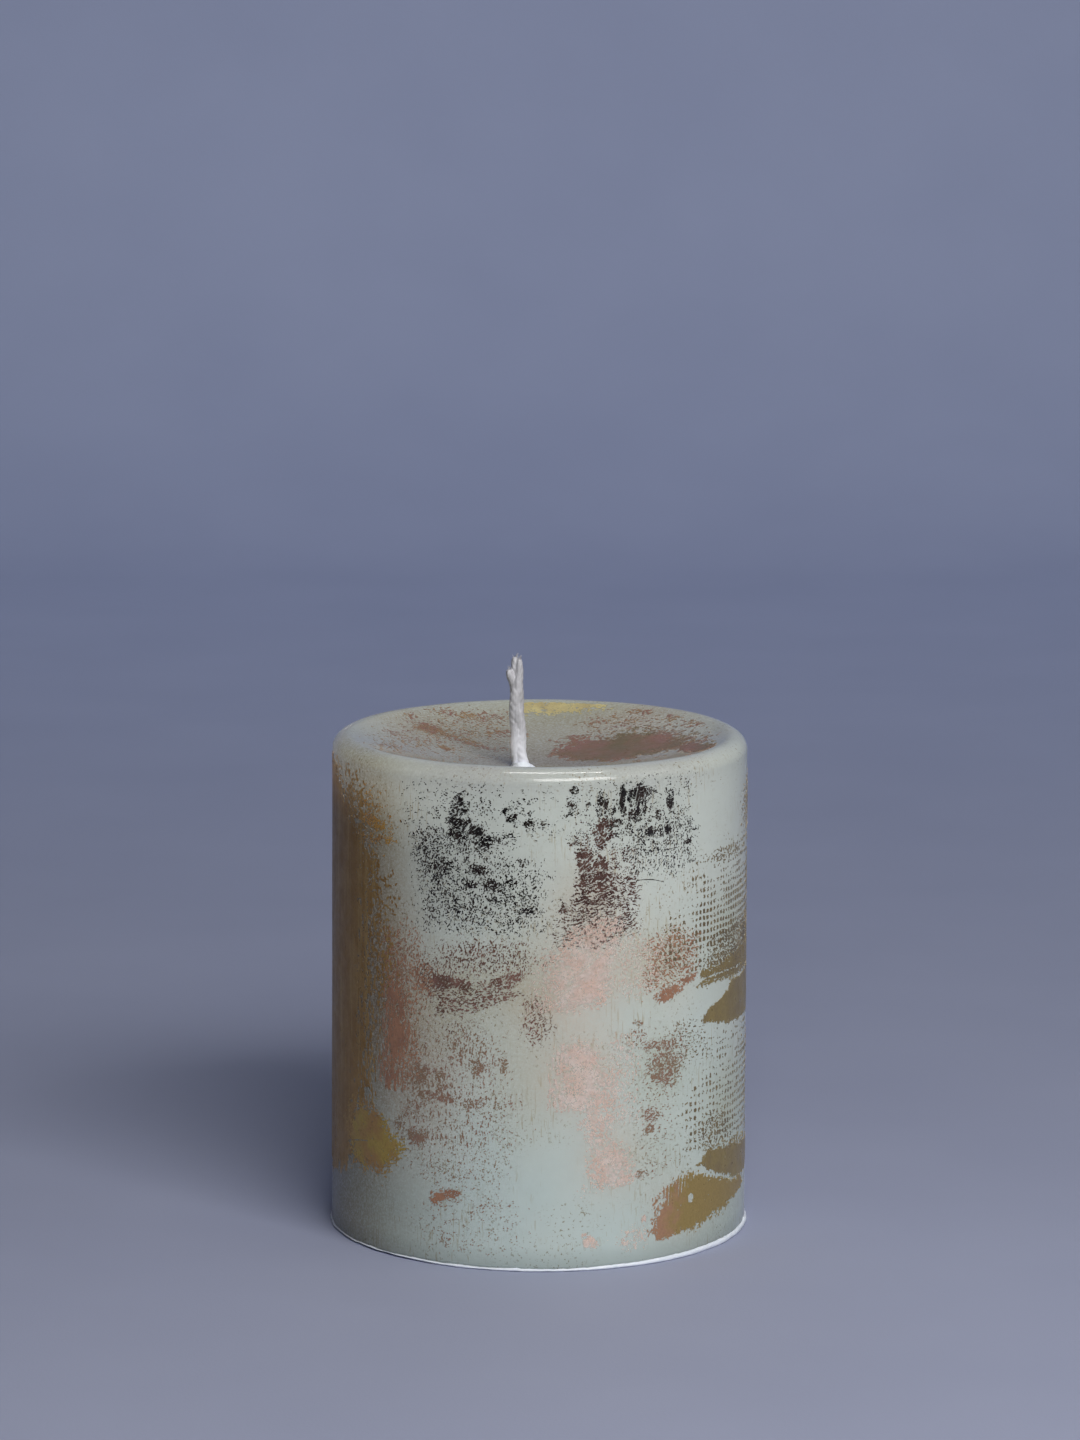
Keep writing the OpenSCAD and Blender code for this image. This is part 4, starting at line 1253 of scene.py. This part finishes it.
class Nodes:
    """A material's node tree, with short ways to add what these materials need."""

    def __init__(self, name):
        self.material = bpy.data.materials.new(name)
        self.material.use_nodes = True
        self.tree = self.material.node_tree
        self.shader = self.tree.nodes["Principled BSDF"]
        self.coords = self.tree.nodes.new("ShaderNodeTexCoord").outputs["Object"]

    def feed(self, socket, value):
        """Links an output to a socket, or sets a number, or a colour given as a tuple, on it."""
        if isinstance(value, bpy.types.NodeSocket):
            self.tree.links.new(value, socket)
        else:
            socket.default_value = (*value, 1.0) if isinstance(value, tuple) else value

    def mapped(self, scale, offset=(0.0, 0.0, 0.0)):
        """Object coordinates in mm, times scale for each axis."""
        node = self.tree.nodes.new("ShaderNodeMapping")
        node.inputs["Scale"].default_value = [s / MM for s in scale]
        node.inputs["Location"].default_value = offset
        self.feed(node.inputs["Vector"], self.coords)
        return node.outputs["Vector"]

    def noise(self, size, detail=3.0, roughness=0.55, scale=(1.0, 1.0, 1.0), offset=(0.0, 0.0, 0.0)):
        """Noise with features of about size mm."""
        node = self.tree.nodes.new("ShaderNodeTexNoise")
        for name, value in (("Scale", 1.0), ("Detail", detail), ("Roughness", roughness)):
            node.inputs[name].default_value = value
        self.feed(node.inputs["Vector"], self.mapped([s / size for s in scale], offset))
        return node.outputs["Fac"]

    def ramp(self, factor, stops):
        """A colour ramp; each stop is (position, colour or grey)."""
        node = self.tree.nodes.new("ShaderNodeValToRGB")
        for element, (position, colour) in zip(node.color_ramp.elements, stops, strict=True):
            element.position = position
            element.color = (*(colour if isinstance(colour, tuple) else [colour] * 3), 1.0)
        self.feed(node.inputs["Fac"], factor)
        return node.outputs["Color"]

    def mix(self, kind, factor, a, b):
        """Mixes two colours, each an output or a constant."""
        node = self.tree.nodes.new("ShaderNodeMix")
        node.data_type = "RGBA"
        node.blend_type = kind
        for index, value in ((0, factor), (6, a), (7, b)):
            self.feed(node.inputs[index], value)
        return node.outputs[2]

    def math(self, kind, a, b):
        node = self.tree.nodes.new("ShaderNodeMath")
        node.operation = kind
        self.feed(node.inputs[0], a)
        self.feed(node.inputs[1], b)
        return node.outputs[0]

    def place(self, axis):
        """The place along one axis of the candle, in mm; axis 2 is the height above the table."""
        node = self.tree.nodes.new("ShaderNodeSeparateXYZ")
        self.feed(node.inputs[0], self.mapped((1.0, 1.0, 1.0)))
        return node.outputs[axis]

    def finish(self, colour, roughness, bumps, **constants):
        """Feeds the shader. Each bump is (height, depth in mm); the constants are set on their sockets."""
        self.feed(self.shader.inputs["Base Color"], colour)
        self.feed(self.shader.inputs["Roughness"], roughness)
        for name, value in constants.items():
            self.shader.inputs[name.replace("_", " ")].default_value = value
        normal = self.shader.inputs["Normal"]
        # The last bump meets the shader, and each takes the one before it as its own normal.
        for height, depth in reversed(bumps):
            node = self.tree.nodes.new("ShaderNodeBump")
            node.inputs["Strength"].default_value = 1.0
            node.inputs["Distance"].default_value = depth * MM
            self.feed(node.inputs["Height"], height)
            self.feed(normal, node.outputs["Normal"])
            normal = node.inputs["Normal"]
        return self.material


SAGE = (0.495, 0.575, 0.558)
SAGE_WARM = (0.545, 0.588, 0.552)
STRAY_LEAF = (0.60, 0.52, 0.43)
RUBBED_LEAF = (0.78, 0.66, 0.52)


def sage_wax():
    """Satin pale sage wax, faintly mottled, with a fine skin and a little light scattered inside it."""
    m = Nodes("sage_wax")
    # The colour turns warmer and lighter towards the top, a painted glow of light through the upper wax,
    # mixed with broad mottling.
    high = m.math("DIVIDE", m.place(2), 60.0)
    broad = m.math("ADD", m.math("MULTIPLY", m.noise(22.0, 2.0, 0.5), 0.6), m.math("MULTIPLY", high, 0.4))
    fine = m.noise(2.2, 4.0, 0.6)
    colour = m.mix("MIX", m.ramp(broad, [(0.35, 0.0), (0.68, 1.0)]), SAGE, SAGE_WARM)
    colour = m.mix("MULTIPLY", 1.0, colour, m.ramp(fine, [(0.3, 0.965), (0.7, 1.0)]))
    # The stored tint is leaf dust, with a few spots of painted shade near the foot.
    dusted_and_shaded = m.tree.nodes.new("ShaderNodeAttribute")
    dusted_and_shaded.attribute_name = "dust"
    speckle = m.ramp(m.noise(0.45, 5.0, 0.8), [(0.36, 0.45), (0.56, 1.0)])
    colour = m.mix("MULTIPLY", speckle, colour, dusted_and_shaded.outputs["Color"])
    # Stray specks and hairlines of leaf, in drifts, and painted contact shade at the foot.
    drift = m.ramp(m.noise(10.0, 3.0, 0.6, offset=(3.0, 1.0, 2.0)), [(0.44, 0.0), (0.62, 1.0)])
    specks = m.ramp(m.noise(0.55, 2.0, 0.6), [(0.60, 0.0), (0.66, 1.0)])
    colour = m.mix("MULTIPLY", m.math("MULTIPLY", drift, specks), colour, STRAY_LEAF)
    hairs = m.ramp(m.noise(0.36, 2.0, 0.6, scale=(1.0, 1.0, 0.1)), [(0.60, 0.0), (0.65, 0.75)])
    rubbed = m.ramp(m.noise(13.0, 3.0, 0.6, offset=(1.0, 7.0, 4.0)), [(0.46, 0.0), (0.6, 1.0)])
    colour = m.mix("MULTIPLY", m.math("MULTIPLY", rubbed, hairs), colour, RUBBED_LEAF)
    # Painted contact shade: the wax darkens over its lowest few mm.
    foot = m.ramp(m.math("DIVIDE", m.place(2), 10.0), [(0.03, 0.68), (0.45, 1.0)])
    colour = m.mix("MULTIPLY", 1.0, colour, foot)
    return m.finish(
        colour,
        m.ramp(m.noise(5.0, 4.0), [(0.3, 0.09), (0.7, 0.13)]),
        [(m.noise(9.0, 2.0), 0.03), (m.noise(1.2, 2.0), 0.002)],
        IOR=1.42,
        Specular_IOR_Level=0.36,
        Subsurface_Weight=0.35,
        Subsurface_Radius=(1.0, 1.0, 0.9),
        Subsurface_Scale=1.2 * MM,
    )


def white_wax():
    """Bright white wax with a trimmed, slightly crumbly surface."""
    m = Nodes("white_wax")
    return m.finish(
        m.ramp(m.noise(1.6, 4.0, 0.6), [(0.3, (0.70, 0.76, 0.86)), (0.65, (0.82, 0.87, 0.97))]),
        m.ramp(m.noise(0.9, 3.0), [(0.3, 0.38), (0.7, 0.55)]),
        [(m.noise(0.7, 4.0), 0.04), (m.noise(0.25, 2.0), 0.01)],
        Subsurface_Weight=0.3,
        Subsurface_Radius=(1.0, 1.0, 1.0),
        Subsurface_Scale=1.0 * MM,
    )


def cotton():
    """Waxed cotton: off-white yarn with fine twisted fibres, whiter where wax has set on it."""
    m = Nodes("waxed_cotton")
    fibres = m.noise(0.3, 3.0, 0.65, scale=(1.0, 1.0, 0.07))
    blotch = m.noise(1.4, 3.0)
    tones = m.ramp(blotch, [(0.35, 0.0), (0.65, 1.0)])
    colour = m.mix("MIX", tones, (0.47, 0.465, 0.50), (0.57, 0.57, 0.62))
    colour = m.mix("MULTIPLY", 1.0, colour, m.ramp(fibres, [(0.3, 0.74), (0.6, 1.0)]))
    height = m.math("DIVIDE", m.math("SUBTRACT", m.place(2), DISH_FLOOR_Z), 10.0)
    foot = m.math("MULTIPLY", m.ramp(height, [(0.1, 1.0), (0.9, 0.0)]), 0.75)
    return m.finish(
        m.mix("MIX", foot, colour, (0.84, 0.86, 0.95)),
        m.ramp(blotch, [(0.3, 0.42), (0.7, 0.62)]),
        [(fibres, 0.06), (m.noise(0.6, 2.0), 0.03)],
        Subsurface_Weight=0.15,
        Subsurface_Radius=(1.0, 1.0, 1.0),
        Subsurface_Scale=0.4 * MM,
    )


def tin():
    """Stamped tin with a fine drawn grain and small dull spots."""
    m = Nodes("stamped_tin")
    grain = m.noise(0.12, 2.0, 0.5, scale=(0.08, 1.0, 1.0))
    colour = m.ramp(m.noise(3.0, 4.0), [(0.3, (0.50, 0.50, 0.51)), (0.7, (0.66, 0.67, 0.69))])
    roughness = m.ramp(grain, [(0.3, 0.28), (0.7, 0.45)])
    return m.finish(colour, roughness, [(grain, 0.004), (m.noise(4.0, 2.0), 0.02)], Metallic=1.0)


# The brighter metal that the upright brush marks uncover.
BRUSHED = (0.60, 0.45, 0.19)


def foil(name, main, other, roughness, metal=0.5, streak=0.0, fade=None, crinkle=1.0, patch=3.4):
    """Beaten metal leaf: two tones in soft patches, fine creases, and upright brush marks where asked."""
    m = Nodes("foil_" + name)
    share = m.ramp(m.noise(patch, 3.0, 0.55), [(0.38, 0.0), (0.62, 1.0)])
    if fade:
        # The second tone takes over from one x to another.
        low, high = fade
        across = m.math("DIVIDE", m.math("SUBTRACT", m.place(0), low), high - low)
        share = m.math("ADD", across, m.math("MULTIPLY", m.math("SUBTRACT", m.noise(1.6, 3.0), 0.5), 1.4))
        share = m.ramp(share, [(0.2, 1.0), (0.8, 0.0)])
    colour = m.mix("MIX", share, main, other)
    if streak:
        lines = m.noise(1.0, 3.0, 0.6, scale=(1.0, 1.0, 0.035))
        marks = m.math("MULTIPLY", m.ramp(lines, [(0.5, 0.0), (0.64, 1.0)]), streak)
        colour = m.mix("MIX", marks, colour, BRUSHED)
    return m.finish(
        m.mix("MULTIPLY", 1.0, colour, m.ramp(m.noise(0.4, 3.0), [(0.3, 0.84), (0.65, 1.0)])),
        m.ramp(m.noise(1.5, 3.0), [(0.3, roughness - 0.06), (0.7, roughness + 0.08)]),
        [(m.noise(1.4, 2.0), 0.035), (m.noise(0.4, 2.0), 0.012 * crinkle)],
        Metallic=metal,
    )


# name: the two tones, the roughness, and what else foil() is told
FOILS = {
    "bronze": ((0.36, 0.205, 0.062), (0.43, 0.265, 0.095), 0.4, {"streak": 0.34}),
    "orange": ((0.66, 0.38, 0.10), (0.50, 0.27, 0.09), 0.32, {}),
    "gold": ((0.52, 0.37, 0.10), (0.47, 0.28, 0.11), 0.34, {}),
    "olive_gold": ((0.38, 0.29, 0.12), (0.33, 0.25, 0.12), 0.32, {}),
    "gold_copper": ((0.43, 0.31, 0.115), (0.52, 0.30, 0.18), 0.32, {"fade": (20.5, 27.0)}),
    "olive": ((0.30, 0.23, 0.12), (0.22, 0.17, 0.10), 0.36, {}),
    "copper": ((0.53, 0.28, 0.165), (0.43, 0.23, 0.145), 0.32, {"crinkle": 2.0}),
    "dull_copper": ((0.36, 0.25, 0.16), (0.40, 0.24, 0.17), 0.36, {}),
    "rust": ((0.38, 0.21, 0.16), (0.24, 0.14, 0.10), 0.34, {"metal": 0.7}),
    "top_gold": ((0.66, 0.57, 0.27), (0.56, 0.46, 0.22), 0.5, {}),
    "top_rust": ((0.36, 0.185, 0.12), (0.24, 0.175, 0.075), 0.42, {"crinkle": 2.0, "patch": 8.0}),
    "top_copper": ((0.40, 0.24, 0.10), (0.34, 0.17, 0.12), 0.42, {}),
    "rose": ((1.0, 0.85, 0.73), (0.97, 0.72, 0.58), 0.26, {"metal": 0.55, "crinkle": 2.5}),
    # The umber and dark tones are partly tarnished leaf and partly a painted reflection of the dark room that
    # the leaf high on the side mirrors.
    "umber": ((0.20, 0.11, 0.09), (0.30, 0.17, 0.13), 0.3, {"metal": 0.9, "crinkle": 2.0}),
    "dark": ((0.085, 0.078, 0.07), (0.14, 0.10, 0.08), 0.28, {"metal": 1.0}),
}


def backdrop_paper():
    """Plain blue-grey paper with a very fine tooth."""
    m = Nodes("backdrop_paper")
    colour = m.ramp(m.noise(60.0, 2.0), [(0.3, (0.309, 0.334, 0.462)), (0.7, (0.326, 0.351, 0.480))])
    return m.finish(colour, 0.75, [(m.noise(0.6, 3.0), 0.03)])


# ---------- stage ----------

# The paper: its front edge, where it starts to curve up, the curve's radius, and its top and half width.
PAPER_FRONT, PAPER_BACK, PAPER_BEND, PAPER_TOP, PAPER_HALF = -300.0, 760.0, 260.0, 1500.0, 1700.0
PAPER_STEPS = 16


def build_sweep(material):
    """A sheet of paper that lies under the candle and curves up behind it."""
    profile = [(y, 0.0) for y in (PAPER_FRONT, -100.0, 100.0, 400.0, PAPER_BACK)]
    for i in range(1, PAPER_STEPS + 1):
        turn = math.pi / 2 * i / PAPER_STEPS
        profile.append((PAPER_BACK + PAPER_BEND * math.sin(turn), PAPER_BEND * (1 - math.cos(turn))))
    profile.append((PAPER_BACK + PAPER_BEND, PAPER_TOP))
    xs = np.linspace(-PAPER_HALF, PAPER_HALF, 9)
    points = np.array([(x, y, z) for y, z in profile for x in xs])
    rows, columns = len(profile), len(xs)
    i, j = np.meshgrid(np.arange(rows - 1), np.arange(columns - 1), indexing="ij")
    a = (i * columns + j).ravel()
    faces = np.stack([a, a + 1, a + columns + 1, a + columns], -1)
    make_object("paper_sweep", points, [faces], material, smooth=True)


MIDDLE = (0.0, 0.0, 45.0)
# name: azimuth from the front towards +X and elevation, distance, width and height in m, watts, colour, and
# the point in mm that the lamp is set about and faces
LAMPS = {
    "key_box": (21, 37, 1.0, 0.7, 0.32, 9.7, (1.0, 0.99, 0.965), MIDDLE),
    "side_box": (66, 36, 0.34, 0.16, 0.12, 0.07, (1.0, 0.99, 0.96), (0.0, 0.0, 80.0)),
    "back_strip": (160, 74, 0.9, 0.6, 0.03, 0.25, (0.93, 0.97, 1.0), MIDDLE),
    "top_strip": (0, 88, 0.9, 0.42, 0.03, 3.5, (1.0, 1.0, 1.0), (80.0, 0.0, 45.0)),
    "rim_glow": (-104, 6, 0.3, 0.09, 0.011, 0.0016, (1.0, 0.92, 0.82), (0.0, 0.0, 83.0)),
    "backdrop_wash": (180, 68, 1.0, 1.6, 0.25, 6.1, (0.74, 0.84, 1.0), (0.0, 100.0, 100.0)),
}


def area_light(name, azimuth, elevation, distance, width, height, power, colour, aim):
    """A soft box that faces the candle."""
    a, e = math.radians(azimuth), math.radians(elevation)
    away = Vector((math.sin(a) * math.cos(e), -math.cos(a) * math.cos(e), math.sin(e)))
    data = bpy.data.lights.new(name, "AREA")
    data.shape = "RECTANGLE"
    data.size, data.size_y = width, height
    data.energy = power
    data.color = colour
    obj = bpy.data.objects.new(name, data)
    obj.location = Vector(aim) * MM + away * distance
    obj.rotation_mode = "QUATERNION"
    obj.rotation_quaternion = (-away).to_track_quat("-Z", "Y")
    obj.visible_camera = False
    bpy.context.scene.collection.objects.link(obj)
    return obj


def build_lights():
    lamps = {name: area_light(name, *facts) for name, facts in LAMPS.items()}
    # This strip overhead is only mirrored: the thin upper highlight along the rim.
    lamps["top_strip"].visible_diffuse = False
    # A thin sheet of light on the left rim, for the light that shines out there through the wax.
    lamps["rim_glow"].data.spread = math.radians(3.0)
    lamps["rim_glow"].visible_glossy = False
    # The wash faces the paper and away from the candle.
    lamps["backdrop_wash"].rotation_quaternion = Vector((0.0, 1.0, -0.45)).to_track_quat("-Z", "Y")


ROOM_COLOUR = (1.0, 0.93, 0.84, 1.0)
ROOM_STRENGTH = 0.007
BEYOND_PAPER = (0.171, 0.198, 0.296, 1.0)


def build_world():
    """A dark room, which the leaf mirrors; seen past the paper it is as pale as the backdrop."""
    world = bpy.data.worlds.new("room")
    bpy.context.scene.world = world
    world.use_nodes = True
    nodes, links = world.node_tree.nodes, world.node_tree.links
    room = nodes["Background"]
    room.inputs["Color"].default_value = ROOM_COLOUR
    room.inputs["Strength"].default_value = ROOM_STRENGTH
    seen = nodes.new("ShaderNodeBackground")
    seen.inputs["Color"].default_value = BEYOND_PAPER
    mix = nodes.new("ShaderNodeMixShader")
    path = nodes.new("ShaderNodeLightPath")
    links.new(path.outputs["Is Camera Ray"], mix.inputs["Fac"])
    links.new(room.outputs[0], mix.inputs[1])
    links.new(seen.outputs[0], mix.inputs[2])
    links.new(mix.outputs[0], nodes["World Output"].inputs["Surface"])


LENS = 142.5
SENSOR_WIDTH = 36.0
CAMERA_AT = (0.0, -1.0039, 0.2706)
# Degrees up from looking straight down, and of roll.
CAMERA_TILT = 79.89
CAMERA_ROLL = 0.232


def build_camera():
    """The photograph's own viewpoint: 10 degrees down on the candle from a metre away."""
    data = bpy.data.cameras.new("camera")
    data.lens = LENS
    data.sensor_width = SENSOR_WIDTH
    data.clip_start, data.clip_end = 0.01, 20.0
    obj = bpy.data.objects.new("camera", data)
    obj.location = CAMERA_AT
    obj.rotation_mode = "QUATERNION"
    tilt = Euler((math.radians(CAMERA_TILT), 0.0, 0.0)).to_quaternion()
    obj.rotation_quaternion = tilt @ Quaternion((0.0, 0.0, 1.0), math.radians(CAMERA_ROLL))
    bpy.context.scene.collection.objects.link(obj)
    bpy.context.scene.camera = obj


build_camera()
bpy.context.scene.view_settings.view_transform = "Standard"
build_world()
build_lights()
build_sweep(backdrop_paper())

wax_white = white_wax()
build_overdip(sage_wax())
build_core(wax_white)
build_collar(wax_white)
build_wick(cotton())
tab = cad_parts["wick_tab"]
tab.data.materials.clear()
tab.data.materials.append(tin())

build_leaves({name: foil(name, *tones, rough, **rest) for name, (*tones, rough, rest) in FOILS.items()})
